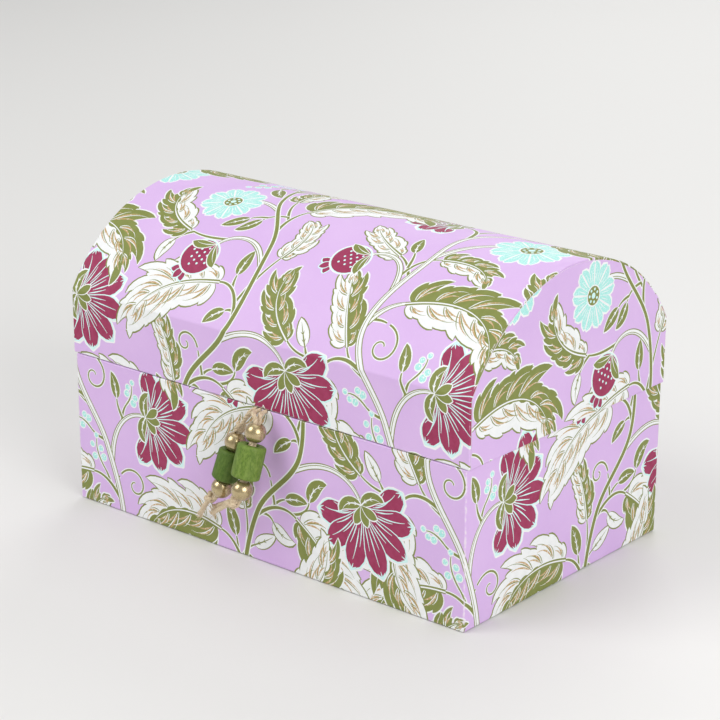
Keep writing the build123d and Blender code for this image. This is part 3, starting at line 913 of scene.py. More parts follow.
# The tray's printed paper goes once round its four walls. It is turned in under the floor
# with mitred corners, and over the rim, which has two dents where the twine crosses it.
# It is made here as four lengths that meet in the middle of each corner
TURN_IN = 14.0
RIM = 2.6
CORNER = 0.8
FOLD = 0.5
DENTS = ((-1.9, -0.5), (0.15, 4.95))
DENT_SHOULDER = 0.35
DENT_DEPTH = 1.15
DENT_HEIGHT = 3.5
DENT_LINE = 1.7
DENT_SIDES = (-4, 7)


def corners_of(node):
    """The lowest and the highest corner of a CAD node, in millimetres."""
    return np.array(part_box(node)) * 1000


base_low, base_high = corners_of("base_cover_paper")
base_size = base_high - base_low
base_middle = (base_low + base_high) / 2
base_fold, base_stops = fold_path(
    (TURN_IN, base_low[2]), 180, TURN_IN - FOLD, (FOLD, 90), base_size[2] - 2 * FOLD, (FOLD, 90),
    RIM - 2 * FOLD, (FOLD, 90), TURN_IN - FOLD,
)
BASE_BOTTOM = TURN_IN - FOLD + FOLD * math.pi / 4
BASE_RIM = BASE_BOTTOM + base_size[2] - 2 * FOLD + FOLD * math.pi / 2


def dent_at(x):
    """How far the rim is dented at a place along the front wall, from 0 to 1."""
    return max_of([
        np.clip((x - start) / DENT_SHOULDER + 1, 0, 1) * np.clip((end - x) / DENT_SHOULDER + 1, 0, 1)
        for start, end in DENTS
    ])


def wall_reach(half, lengths):
    """How far a wall's paper reaches to each side of its middle, at lengths along its section."""
    inset = base_fold(lengths)[0][:, 0]
    return half - np.where(inset < CORNER, CORNER - math.pi / 4 * (CORNER - inset), inset)


def wall_place(half, middle, along, inward, dented):
    """Where a flat point of one wall's paper goes."""
    def place(u, v, depth):
        spots, ways = base_fold(v)
        inset, height = (spots + ways * depth[:, None]).T
        over = np.clip(np.abs(u) - (half - CORNER), 0, None)
        angle = np.clip(over / np.clip(CORNER - spots[:, 0], 0.01, None), 0, math.pi / 4)
        round_here = (over > 0) & (spots[:, 0] < CORNER)
        side = np.where(round_here, half - CORNER + (CORNER - inset) * np.sin(angle), np.abs(u))
        deep = np.where(round_here, CORNER - (CORNER - inset) * np.cos(angle), inset)
        if dented:
            share = np.clip((height - base_high[2] + DENT_HEIGHT) / DENT_HEIGHT, 0, 1)
            height = height - DENT_DEPTH * dent_at(u) * share
        plan = middle + np.outer(np.sign(u) * side, along) + np.outer(deep, inward)
        return np.column_stack([plan, height])
    return place


def wall_worn(half):
    """How far one wall's paper is rubbed at its folds and corners."""
    return lambda u, v: max_of([
        rubbed_near(np.abs(u), [half - CORNER / 3]), 0.8 * rubbed_near(v, [BASE_BOTTOM, BASE_RIM])])


WALLS = {
    "front": (0, (1, 0), (0, 1), (11, 3)),
    "right": (1, (0, 1), (-1, 0), (214, 3)),
    "back": (0, (-1, 0), (0, -1), (341, 3)),
    "left": (1, (0, -1), (1, 0), (544, 3)),
}
for side, (axis, along, inward, cut_at) in WALLS.items():
    half = base_size[axis] / 2
    middle = base_middle[:2] - np.array(inward) * base_size[1 - axis] / 2
    levels = np.array(base_stops)
    reach = wall_reach(half, levels)
    outline = np.vstack([np.stack([reach, levels], 1), np.stack([-reach, levels], 1)[::-1]])
    outline += (half, 0)
    creases = [((half - r, v), (half + r, v)) for v, r in zip(levels[1:-1], reach[1:-1])]
    for line in (BASE_BOTTOM + RUB_REACH, BASE_RIM - RUB_REACH):
        creases.append(((half - reach[6], line), (half + reach[6], line)))
    flat_part = (TURN_IN - FOLD + FOLD * math.pi / 2, BASE_RIM - FOLD * math.pi / 4)
    for inset in (CORNER / 3 + RUB_REACH, CORNER, CORNER / 3):
        for u in (inset, 2 * half - inset):
            creases.append(((u, flat_part[0]), (u, flat_part[1])))
    if side == "front":
        before, after = DENT_SIDES
        marks = []
        for start, end in DENTS:
            marks += [start - DENT_SHOULDER, start, end, end + DENT_SHOULDER]
        marks.sort()
        creases += [((half + x, BASE_RIM + before), (half + x, BASE_RIM + after)) for x in marks]
        for v in (BASE_RIM - DENT_HEIGHT, BASE_RIM - DENT_HEIGHT + DENT_LINE):
            creases.append(((half + before, v), (half + after, v)))
    placed = wall_place(half, middle, along, inward, side == "front")
    paper = cut_sheet(
        f"base_cover_{side}", outline, creases, lambda u, v, depth: placed(u - half, v, depth),
        cut_at, lambda u, v: wall_worn(half)(u - half, v), printed_finish,
    )
    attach(paper, "base")
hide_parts("base_cover_paper")

# The lid's printed paper goes over its front, dome and back in one sheet. Its long edges
# are turned in below and up inside, and its ends folded onto the D-shaped end boards
LID_WALL = 27.0
CREASE = 2.0
LID_FOLD = 0.6
END_FOLD = 0.4
END_BAND = 8.0
LEG_CUT_BACK = 1.9
SPINE_SHARE = 0.4

lid_low, lid_high = corners_of("lid_cover_paper")
lid_depth = lid_high[1] - lid_low[1]
dome_rise = lid_high[2] - lid_low[2] - LID_WALL
dome_radius = ((lid_depth / 2) ** 2 + dome_rise**2) / (2 * dome_rise)
dome_half = math.degrees(math.asin(lid_depth / 2 / dome_radius))
crease_trim = CREASE * math.tan(math.radians(90 - dome_half) / 2)
dome_turn = dome_half - math.degrees(crease_trim / dome_radius)
crease_turn = 90 - dome_turn
lid_fold, lid_stops = fold_path(
    (lid_low[1] + RIM, lid_low[2] + TURN_IN), -90, TURN_IN - FOLD, (FOLD, 90), RIM - FOLD - LID_FOLD,
    (LID_FOLD, 90), LID_WALL - LID_FOLD - crease_trim, (CREASE, crease_turn),
    (dome_radius, 2 * dome_turn), (CREASE, crease_turn), LID_WALL - LID_FOLD - crease_trim,
    (LID_FOLD, 90), RIM - FOLD - LID_FOLD, (FOLD, 90), TURN_IN - FOLD,
)
LID_LENGTH_FLAT = lid_stops[-1]
LEG_END = TURN_IN - FOLD
LID_BOTTOM_FOLD = LEG_END + FOLD * math.pi / 2 + RIM - FOLD - LID_FOLD + LID_FOLD * math.pi / 4
CREASE_LINE = (
    LID_BOTTOM_FOLD + LID_FOLD * math.pi / 4 + LID_WALL - LID_FOLD - crease_trim
    + CREASE * math.radians(crease_turn) / 2
)
END_TURN = lid_high[0] - END_FOLD
END_REACH = END_TURN + END_FOLD * math.pi / 2 + END_BAND - END_FOLD
LEG_REACH = END_TURN - LEG_CUT_BACK
spine = np.array([(lid_low[1] + lid_high[1]) / 2, lid_low[2] + SPINE_SHARE * LID_WALL])


def lid_place(u, v, depth):
    """Where a flat point of the lid's cover goes; past its ends it turns onto the end boards."""
    u = u - END_REACH
    spots, ways = lid_fold(v)
    over = np.clip(np.abs(u) - END_TURN, 0, None)
    angle = np.clip(over / END_FOLD, 0, math.pi / 2)
    flat_end = np.clip(over - END_FOLD * math.pi / 2, 0, None)
    side = np.where(over > 0, END_TURN + (END_FOLD - depth) * np.sin(angle), np.abs(u))
    drop = END_FOLD - (END_FOLD - depth) * np.cos(angle)
    home = spine - spots
    home /= np.linalg.norm(home, axis=1)[:, None]
    spots = spots + ways * drop[:, None] + home * flat_end[:, None]
    return np.column_stack([np.sign(u) * side, spots])


def lid_worn(u, v):
    """How far the lid's cover is rubbed."""
    mirrored = np.minimum(v, LID_LENGTH_FLAT - v)
    return max_of([
        0.75 * rubbed_near(np.abs(u - END_REACH), [END_TURN + END_FOLD * math.pi / 4]),
        rubbed_near(mirrored, [LID_BOTTOM_FOLD]), 0.6 * rubbed_near(mirrored, [CREASE_LINE]),
    ])


main_start, main_end = LID_BOTTOM_FOLD, LID_LENGTH_FLAT - LID_BOTTOM_FOLD
steps = [
    (LEG_REACH, 0), (LEG_REACH, LEG_END + FOLD), (END_TURN, LEG_END + FOLD), (END_TURN, main_start),
    (END_REACH, main_start), (END_REACH, main_end), (END_TURN, main_end),
    (END_TURN, LID_LENGTH_FLAT - LEG_END - FOLD), (LEG_REACH, LID_LENGTH_FLAT - LEG_END - FOLD),
    (LEG_REACH, LID_LENGTH_FLAT),
]
outline = np.array(steps + [(-u, v) for u, v in steps[::-1]]) + (END_REACH, 0)


def lid_reach(v):
    """How far the lid's cover reaches to each side of its middle, at a length along it."""
    if main_start < v < main_end:
        return END_REACH
    return LEG_REACH if min(v, LID_LENGTH_FLAT - v) < LEG_END + FOLD else END_TURN


rubbed_lines = [(line, past) for line in (LID_BOTTOM_FOLD, CREASE_LINE) for past in (0, RUB_REACH)]
levels = sorted({
    *lid_stops[1:-1], *(line + past for line, past in rubbed_lines),
    *(LID_LENGTH_FLAT - line - past for line, past in rubbed_lines),
    CREASE_LINE - RUB_REACH, LID_LENGTH_FLAT - CREASE_LINE + RUB_REACH,
})
creases = [((END_REACH - lid_reach(v), v), (END_REACH + lid_reach(v), v)) for v in levels]
for past in (0.3 - RUB_REACH, 0, END_FOLD * math.pi / 4, END_FOLD * math.pi / 2):
    for way in (-1, 1):
        u = END_REACH + way * (END_TURN + past)
        creases.append(((u, main_start), (u, main_end)))
lid_paper = cut_sheet(
    "lid_cover", outline, creases, lid_place, (40, 20), lid_worn, printed_finish)
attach(lid_paper, "lid")
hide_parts("lid_cover_paper")

# Each end of the lid has its own printed sheet, cut a little smaller than the D-shaped end
# so that a sliver of the folded cover shows round it, and turned in along the lower edge
END_MARGIN = 0.8
END_RIM = 2.9
end_high = corners_of("lid_right_end_paper")[1]
end_fold, end_stops = fold_path(
    (END_RIM, lid_low[2] + TURN_IN), -90, TURN_IN - FOLD, (FOLD, 90), END_RIM - FOLD - LID_FOLD,
    (LID_FOLD, 90), end_high[2] - lid_low[2],
)
END_BOTTOM = TURN_IN - FOLD + FOLD * math.pi / 2 + END_RIM - FOLD - LID_FOLD + LID_FOLD * math.pi / 4
FACE_START = END_BOTTOM + LID_FOLD * math.pi / 4 - LID_FOLD
leg_half = lid_depth / 2 - RIM
wall_half = lid_depth / 2 - END_MARGIN
arc_radius = dome_radius - END_MARGIN
arc_centre = lid_high[2] - dome_radius - lid_low[2] + FACE_START
arc_half = math.asin(wall_half / arc_radius)
arc = [
    (arc_radius * math.sin(angle), arc_centre + arc_radius * math.cos(angle))
    for angle in np.linspace(arc_half, -arc_half, 41)
]
outline = np.array([
    (-leg_half, 0), (leg_half, 0), (leg_half, END_BOTTOM), (wall_half, END_BOTTOM), *arc,
    (-wall_half, END_BOTTOM), (-leg_half, END_BOTTOM),
]) + (wall_half, 0)
end_levels = [v for v in end_stops[1:-1] if v < END_BOTTOM + 2] + [END_BOTTOM + RUB_REACH]
for name, way in (("left", -1), ("right", 1)):
    def end_place(u, v, depth):
        spots, ways = end_fold(v)
        inset, height = (spots + ways * depth[:, None]).T
        y = base_middle[1] + way * (u - wall_half)
        return np.column_stack([way * (end_high[0] - inset), y, height])

    creases = []
    for v in end_levels:
        reach = leg_half if v <= END_BOTTOM else wall_half
        creases.append(((wall_half - reach, v), (wall_half + reach, v)))
    paper = cut_sheet(
        f"lid_{name}_end", outline, creases, end_place, (20 if way > 0 else 100, 60),
        lambda u, v: 0.8 * rubbed_near(v, [END_BOTTOM]), printed_finish,
    )
    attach(paper, "lid")
    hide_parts(f"lid_{name}_end_paper")

# Plain sheets: a lilac one under the tray hides the turned-in edges, and a cream one with
# visible fibres lines the tray and the lid. All are glued flat to the board
LILAC = (0.60, 0.47, 0.68, 1)
LILAC_PALE = (0.66, 0.54, 0.73, 1)
CREAM = (0.86, 0.83, 0.76, 1)
CREAM_PALE = (0.90, 0.87, 0.81, 1)
PAPER_FIBRES = (0.95, 0.93, 0.9, 1)
PAPER_RUBBED = (0.86, 0.82, 0.85, 1)
LINING = 0.25
DOME_CARD = 1.9


def plain_paper(name, base, pale, grain):
    """Undecorated handmade paper of one colour, clouded and with paler fibres."""
    finish = new_finish(name, roughness=0.72, specular_ior_level=0.3)
    tree = finish.node_tree
    tooth = place_group(tree, paper_tooth, {"Grain": grain, "Fibre": 2.0, "Cloud": 18.0})
    rub = place_group(tree, edge_rub, {"Wear": kept_value(tree, "wear"), "Patch": 2.0})
    colour = mix_colours(tree, spread(tree, tooth["Cloud"], 0.3, 0.7, 0.0, 0.6), base, pale)
    colour = mix_colours(tree, maths(tree, "MULTIPLY", tooth["Fibres"], 0.3), colour, PAPER_FIBRES)
    colour = mix_colours(tree, rub["Mask"], colour, PAPER_RUBBED)
    roughness = spread(tree, tooth["Height"], 0.0, 1.0, 0.66, 0.84)
    wire_shader(finish, colour, roughness, tooth["Height"], 0.06)
    return finish


underside_finish = plain_paper("underside_paper", LILAC, LILAC_PALE, 0.45)
lining_finish = plain_paper("lining_paper", CREAM, CREAM_PALE, 0.5)
dress(underside_finish, "base_underside_paper")
dress(
    lining_finish, "base_floor_lining", "base_wall_lining",
    "lid_left_end_lining", "lid_right_end_lining",
)

lining_low, lining_high = corners_of("lid_dome_lining")
lined_radius = dome_radius - DOME_CARD - LINING
lined_half = (lining_high[1] - lining_low[1]) / 2 - LINING
lined_angle = math.degrees(math.asin(lined_half / lined_radius))
shoulder = lid_high[2] - dome_radius + math.sqrt(lined_radius**2 - lined_half**2)
inner_trim = CREASE * math.tan(math.radians(90 - lined_angle) / 2)
inner_turn = lined_angle - math.degrees(inner_trim / lined_radius)
lining_fold, lining_stops = fold_path(
    (lining_low[1] + LINING, lining_low[2]), 90, shoulder - lining_low[2] - inner_trim,
    (CREASE, 90 - inner_turn), (lined_radius, 2 * inner_turn), (CREASE, 90 - inner_turn),
    shoulder - lining_low[2] - inner_trim,
)


def lining_place(u, v, depth):
    """Where a flat point of the lid's lining goes: its face is on the hollow side."""
    spots, ways = lining_fold(v)
    return np.column_stack([u + lining_low[0], spots - ways * depth[:, None]])


lining_width = lining_high[0] - lining_low[0]
lid_lining = cut_sheet(
    "lid_lining",
    [(0, 0), (lining_width, 0), (lining_width, lining_stops[-1]), (0, lining_stops[-1])],
    [((0, v), (lining_width, v)) for v in lining_stops[1:-1]], lining_place,
    finish=lining_finish, thick=LINING,
)
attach(lid_lining, "lid")
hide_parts("lid_dome_lining")

# The hinge is one strip of the plain lilac paper, glued across the back over the seam. It
# has close lines across it along the seam, and is rubbed there
STRIP_LILAC = (0.66, 0.50, 0.72, 1)
STRIP_PALE = (0.71, 0.57, 0.77, 1)
HINGE_BEND = 1.5
HINGE_STEP = 0.3

strip_low, strip_high = corners_of("hinge_strip_lower")[0], corners_of("hinge_strip_upper")[1]
seam = (strip_low[2] + strip_high[2]) / 2
strip_width, strip_height = strip_high[0] - strip_low[0], strip_high[2] - strip_low[2]
bend_lines = np.arange(-HINGE_BEND, HINGE_BEND + HINGE_STEP / 2, HINGE_STEP) + seam - strip_low[2]
hinge_finish = plain_paper("hinge_paper", STRIP_LILAC, STRIP_PALE, 0.45)
hinge_strip = cut_sheet(
    "hinge_strip",
    [(0, 0), (strip_width, 0), (strip_width, strip_height), (0, strip_height)],
    [((0, v), (strip_width, v)) for v in bend_lines],
    lambda u, v, depth: np.column_stack([strip_high[0] - u, strip_high[1] - depth, strip_low[2] + v]),
    worn=lambda u, v: 0.9 * rubbed_near(v, [seam - strip_low[2]]), finish=hinge_finish,
)
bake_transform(hinge_strip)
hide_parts("hinge_strip_lower", "hinge_strip_upper")

# Jute twine of three plies, 1.8 mm thick, hangs in three strands from the lid's front
# edge: one through the left beads, two through the right. Its cut tails have frayed
JUTE = (0.71, 0.56, 0.365, 1)
JUTE_DARK = (0.39, 0.26, 0.135, 1)
JUTE_PALE = (0.96, 0.84, 0.62, 1)
TWINE_STEP = 0.28
PLY_RADIUS = 0.5
PLY_OFFSET = 0.5
PLY_LAY = 5.0
PLY_SIDES = 9
TAIL = 7.0
ROUTES = {
    "twine_left": [
        (-1.2, -65.5, 63.2), (-1.5, -66.9, 62.2), (-3.5, -66.9, 59.6), (-6.11, -67.81, 54.61),
        (-10.97, -74.74, 26.85), (-16.03, -74.0, 25.97), (-23.09, -70.0, 19.26), (-31.01, -65.2, 11.5),
    ],
    "twine_right_front": [
        (1.0, -65.5, 63.2), (1.7, -68.3, 63.8), (5.0, -71.0, 64.5), (6.32, -71.02, 62.41),
        (4.18, -79.99, 31.15), (0.37, -80.06, 29.88), (-6.6, -77.0, 25.2), (-17.19, -71.8, 18.44),
    ],
    "twine_right_back": [
        (4.1, -65.5, 63.2), (5.5, -68.0, 64.1), (6.32, -69.19, 61.89), (4.18, -78.16, 30.63),
        (1.21, -78.24, 29.83), (-8.51, -74.6, 25.9), (-18.42, -70.2, 19.73),
    ],
}


def smooth_strand(route):
    """Points along the smooth line that a strand's route controls."""
    curve = bpy.data.curves.new("strand", "CURVE")
    curve.dimensions = "3D"
    spline = curve.splines.new("NURBS")
    spline.points.add(len(route) - 1)
    for point, place in zip(spline.points, route):
        point.co = (*place, 1)
    spline.order_u = 3
    spline.use_endpoint_u = True
    spline.resolution_u = 30
    holder = bpy.data.objects.new("strand", curve)
    mesh = bpy.data.meshes.new_from_object(holder)
    line = np.array([point.co for point in mesh.vertices])
    bpy.data.objects.remove(holder)
    return line


def even(line, step):
    """The same line with its points a step apart."""
    gone = np.append(0, np.cumsum(np.linalg.norm(np.diff(line, axis=0), axis=1)))
    wanted = np.linspace(0, gone[-1], max(4, round(gone[-1] / step)))
    return np.stack([np.interp(wanted, gone, line[:, axis]) for axis in range(3)], axis=1), wanted


def square_to(line):
    """At each point of a line, its direction and two directions square to it."""
    along = np.gradient(line, axis=0)
    along /= np.linalg.norm(along, axis=1)[:, None]
    side = [np.cross(along[0], (0.31, 0.17, 0.94))]
    for ahead in along[1:]:
        side.append(side[-1] - ahead * (side[-1] @ ahead))
    side = np.array([s / np.linalg.norm(s) for s in side])
    return along, side, np.cross(along, side)


def wander(chance, gone, step):
    """A value that drifts between -1 and 1 along a strand."""
    knots = np.arange(gone[0] - step, gone[-1] + 2 * step, step)
    return np.interp(gone, knots, chance.uniform(-1, 1, len(knots)))


def spin_plies(line, seed, plies=3, tail=0.0, radius=PLY_RADIUS, offset=PLY_OFFSET):
    """Three plies twisted round a line, which come apart over the tail at its end.

    Gives points, faces, and for each point its place on its ply, how bushy it is and
    the way its fibres lie."""
    chance = np.random.default_rng(seed)
    line, gone = even(line, TWINE_STEP)
    loose = np.clip((gone - gone[-1] + tail) / max(tail, 0.1), 0, 1) if tail else gone * 0
    _, side, up = square_to(line)
    points, faces, wraps, bushy, lies = [], [], [], [], []
    for ply in range(plies):
        turn = 2 * math.pi * (ply / plies + gone / PLY_LAY) + 0.25 * wander(chance, gone, 4.0)
        out = offset * (1 + 0.1 * wander(chance, gone, 2.5) + 1.6 * loose**2)
        centre = line + out[:, None] * (np.cos(turn)[:, None] * side + np.sin(turn)[:, None] * up)
        thick = radius * (1 + 0.1 * wander(chance, gone, 1.7)) * (1 - 0.72 * loose**1.5)
        ply_along, ply_side, ply_up = square_to(centre)
        for corner in range(PLY_SIDES):
            angle = 2 * math.pi * corner / PLY_SIDES
            way = math.cos(angle) * ply_side + math.sin(angle) * ply_up
            points.append(centre + way * thick[:, None])
            spun = angle + 2.4 * gone
            wraps.append(np.stack([np.cos(spun), np.sin(spun), gone * 0.1 + 7.0 * ply], axis=1))
            bushy.append(0.22 + 0.78 * loose)
            lies.append(way * (1 - 0.8 * loose)[:, None] + ply_along * (0.5 + loose)[:, None])
        first = ply * PLY_SIDES * len(line)
        for corner in range(PLY_SIDES):
            low, high = first + corner * len(line), first + (corner + 1) % PLY_SIDES * len(line)
            faces += [(low + at, high + at, high + at + 1, low + at + 1) for at in range(len(line) - 1)]
        starts = [first + corner * len(line) for corner in range(PLY_SIDES)]
        faces += [tuple(reversed(starts)), tuple(at + len(line) - 1 for at in starts)]
    return [np.vstack(points), faces, np.vstack(wraps), np.hstack(bushy), np.vstack(lies)]


def join_spun(spun):
    """Several spun lengths as one."""
    shift, faces = 0, []
    for length in spun:
        faces += [tuple(at + shift for at in face) for face in length[1]]
        shift += len(length[0])
    points, wraps, bushy, lies = (np.concatenate([one[k] for one in spun]) for k in (0, 2, 3, 4))
    return [points, faces, wraps, bushy, lies]


def twine_piece(name, spun, finish):
    """A piece of twine, with smooth shading and what its fibres need."""
    points, faces, wraps, bushy, lies = spun
    piece = make_piece(name, points, faces, finish)
    keep_on_points(piece, "wrap", "FLOAT_VECTOR", wraps)
    keep_on_points(piece, "bushy", "FLOAT", bushy)
    keep_on_points(piece, "lie", "FLOAT_VECTOR", lies)
    piece.data.shade_smooth()
    return piece


long_fibres, fibre_in, fibre_out = start_group(
    "long_fibres", {"Fineness": 5.0, "Length": 1.0}, ["Streak", "Patch"])
wrap = kept_value(long_fibres, "wrap", "Vector")
split = add_node(long_fibres, "ShaderNodeSeparateXYZ", {0: wrap}).outputs
stretched = add_node(long_fibres, "ShaderNodeMath", {0: split[2], 1: fibre_in["Length"]}, operation="DIVIDE")
joined = add_node(long_fibres, "ShaderNodeCombineXYZ", {0: split[0], 1: split[1], 2: stretched.outputs[0]})
wires = {"Vector": joined.outputs[0], "Scale": fibre_in["Fineness"], "Detail": 3.0}
streak = add_node(long_fibres, "ShaderNodeTexNoise", wires).outputs["Fac"]
wires = {"Vector": wrap, "Scale": 0.9, "Detail": 2.0}
patch = add_node(long_fibres, "ShaderNodeTexNoise", wires).outputs["Fac"]
long_fibres.links.new(streak, fibre_out["Streak"])
long_fibres.links.new(patch, fibre_out["Patch"])

jute_finish = new_finish("jute_twine", roughness=0.85, specular_ior_level=0.3, sheen_weight=0.25)
tree = jute_finish.node_tree
fibres = place_group(tree, long_fibres, {"Fineness": 5.5, "Length": 1.0})
colour = mix_colours(tree, spread(tree, fibres["Streak"], 0.32, 0.7), JUTE_DARK, JUTE_PALE)
colour = mix_colours(tree, spread(tree, fibres["Patch"], 0.35, 0.7, 0.0, 0.35), colour, JUTE)
wire_shader(jute_finish, colour, None, fibres["Streak"], 0.12)


def fibre_tree(finish):
    """Fine loose fibres that stand off the twine, more and longer where it is bushy."""
    made = bpy.data.node_groups.new("loose_fibres", "GeometryNodeTree")
    face = made.interface
    face.new_socket("Geometry", in_out="INPUT", socket_type="NodeSocketGeometry")
    for label, kind, value in (
        ("Density", "NodeSocketFloat", 1.0), ("Length", "NodeSocketFloat", 1.0),
        ("Tail Length", "NodeSocketFloat", 1.0), ("Thickness", "NodeSocketFloat", 0.00003),
        ("Seed", "NodeSocketInt", 0),
    ):
        face.new_socket(label, in_out="INPUT", socket_type=kind).default_value = value
    face.new_socket("Geometry", in_out="OUTPUT", socket_type="NodeSocketGeometry")
    given = made.nodes.new("NodeGroupInput").outputs

    def kept(name, kind):
        named = add_node(made, "GeometryNodeInputNamedAttribute", {"Name": name}, data_type=kind)
        return named.outputs[0]

    spread_wires = {
        "Mesh": given["Geometry"], "Density Max": given["Density"],
        "Density Factor": kept("bushy", "FLOAT"), "Distance Min": 0.0, "Seed": given["Seed"],
    }
    roots = add_node(
        made, "GeometryNodeDistributePointsOnFaces", spread_wires, distribute_method="POISSON")
    bow = add_node(made, "GeometryNodeCurveQuadraticBezier", {
        "Resolution": 4, "Start": (0, 0, 0), "Middle": (0.0003, 0, 0.0006), "End": (0.0, 0.0001, 0.001)})
    profile = add_node(
        made, "GeometryNodeCurvePrimitiveCircle", {"Resolution": 3, "Radius": given["Thickness"]})
    hair = add_node(made, "GeometryNodeCurveToMesh", {
        "Curve": bow.outputs[0], "Profile Curve": profile.outputs[0], "Fill Caps": True})
    lie = add_node(
        made, "FunctionNodeAlignRotationToVector", {"Vector": kept("lie", "FLOAT_VECTOR")}, axis="Z")
    tilt = add_node(
        made, "FunctionNodeRandomValue",
        {0: (-0.5, -0.5, 0), 1: (0.5, 0.5, 6.28), "Seed": given["Seed"]}, data_type="FLOAT_VECTOR")
    tilted = add_node(made, "FunctionNodeEulerToRotation", {0: tilt.outputs[0]})
    turned_hair = add_node(
        made, "FunctionNodeRotateRotation", {0: lie.outputs[0], 1: tilted.outputs[0]},
        rotation_space="LOCAL")
    loose = add_node(made, "ShaderNodeMapRange", {
        "Value": kept("bushy", "FLOAT"), "From Min": 0.25, "To Min": given["Length"],
        "To Max": given["Tail Length"]})
    chance = add_node(
        made, "FunctionNodeRandomValue", {2: 0.45, 3: 1.25, "Seed": given["Seed"]}, data_type="FLOAT")
    length = add_node(
        made, "ShaderNodeMath", {0: loose.outputs[0], 1: chance.outputs[1]}, operation="MULTIPLY")
    size = add_node(made, "ShaderNodeCombineXYZ", {0: 1.0, 1: 1.0, 2: length.outputs[0]})
    stood = add_node(made, "GeometryNodeInstanceOnPoints", {
        "Points": roots.outputs["Points"], "Instance": hair.outputs[0],
        "Rotation": turned_hair.outputs[0], "Scale": size.outputs[0]})
    real = add_node(made, "GeometryNodeRealizeInstances", {0: stood.outputs[0]})
    done = add_node(made, "GeometryNodeSetMaterial", {"Geometry": real.outputs[0], "Material": finish})
    made.links.new(done.outputs[0], made.nodes.new("NodeGroupOutput").inputs[0])
    return made


def run_tree(piece, tree, **values):
    """Runs a node tree on a piece with named inputs, and keeps its result as a plain mesh."""
    modifier = piece.modifiers.new(tree.name, "NODES")
    modifier.node_group = tree
    for socket in tree.interface.items_tree:
        label = socket.name.lower().replace(" ", "_")
        if socket.in_out == "INPUT" and label in values:
            modifier[socket.identifier] = values[label]
    graph = bpy.context.evaluated_depsgraph_get()
    mesh = bpy.data.meshes.new_from_object(piece.evaluated_get(graph), depsgraph=graph)
    piece.modifiers.clear()
    piece.data = mesh
    return piece


# How many loose fibres grow, how long they are on the twine and on its tails, and how thick
FUZZ = {"density": 1.1e6, "length": 0.8, "tail_length": 4.2, "thickness": 0.00003}

strands, strand_lines = {}, {}
for seed, (name, route) in enumerate(ROUTES.items()):
    strand_lines[name] = smooth_strand(route)
    strands[name] = spin_plies(strand_lines[name], seed + 3, tail=TAIL)

loose_fibres = fibre_tree(jute_finish)
fuzz = twine_piece("twine_fibres", join_spun(list(strands.values())), jute_finish)
run_tree(fuzz, loose_fibres, **FUZZ, seed=4)
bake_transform(fuzz)

for name, spun in strands.items():
    strand = twine_piece(f"{name}_strand", spun, jute_finish)
    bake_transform(strand)
    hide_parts(name)
    line = strand_lines[name]

# The three twines are pressed flat where they cross the rim under the lid's front wall.
# Inside they are glued to the wall, and a square patch of lining paper holds them
EXITS = (-1.2, 1.0, 4.1)
EXIT_HEIGHT = 63.6
GLUED_Y = -59.9
GLUED_TOP = 76.5
GLUED_HALF = 0.75
PATCH_SIZE = 14.0
PATCH_HEIGHT = 74.0
PATCH_CELLS = 40
PATCH_GLUE = 0.06
PATCH_RIM = 2.0
PATCH_BULGE = 1.52
BULGE_WIDTH = 0.95
BULGE_SLOPE = 1.6

glued, roots = [], []
for seed, exit_x in enumerate(EXITS):
    inside_line = smooth_strand([
        (exit_x, -63.3, EXIT_HEIGHT), (exit_x, -61.3, EXIT_HEIGHT), (exit_x, GLUED_Y, EXIT_HEIGHT),
        (exit_x, GLUED_Y, EXIT_HEIGHT + 2), (exit_x + 0.3, GLUED_Y, GLUED_TOP),
    ])
    glued.append(spin_plies(inside_line, seed + 20, radius=0.35, offset=0.3))
    root_line = even(np.array([(exit_x, -63.1, EXIT_HEIGHT), (exit_x, -65.6, 63.2)]), TWINE_STEP)[0]
    roots.append(spin_plies(root_line, seed + 30, radius=0.42, offset=0.38))

glued_ends = twine_piece("twine_glued_ends_inside", join_spun(glued), jute_finish)
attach(glued_ends, "lid")
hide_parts("twine_glued_ends")

twine_roots = twine_piece("twine_roots", join_spun(roots), jute_finish)
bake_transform(twine_roots)
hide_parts("twine_root")

wall_face = GLUED_Y - GLUED_HALF
grid = np.linspace(-0.5, 0.5, PATCH_CELLS) * PATCH_SIZE
patch_u, patch_v = (axis.ravel() for axis in np.meshgrid(grid, grid))
patch_x = patch_u + sum(EXITS) / 3
patch_z = patch_v + PATCH_HEIGHT
over_twine = max_of([np.exp(-((patch_x - x - 0.2) / BULGE_WIDTH) ** 2) for x in EXITS])
ends_below = np.clip((GLUED_TOP + 1.2 - patch_z) / BULGE_SLOPE, 0, 1)
rim_share = np.clip((PATCH_SIZE / 2 - np.abs(patch_u)) / PATCH_RIM, 0, 1)
patch_rise = PATCH_GLUE + PATCH_BULGE * over_twine * ends_below * rim_share
rows = np.arange(PATCH_CELLS - 1)
cells = [
    (row * PATCH_CELLS + column, row * PATCH_CELLS + column + 1,
     (row + 1) * PATCH_CELLS + column + 1, (row + 1) * PATCH_CELLS + column)
    for row in rows for column in rows
]
patch = make_piece(
    "lining_patch", np.column_stack([patch_x, wall_face + patch_rise, patch_z]),
    [cell[::-1] for cell in cells], lining_finish,
)
patch.data.shade_smooth()
thickness = patch.modifiers.new("thickness", "SOLIDIFY")
thickness.thickness = LINING * MM
thickness.offset = 1
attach(patch, "lid")
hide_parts("twine_patch")

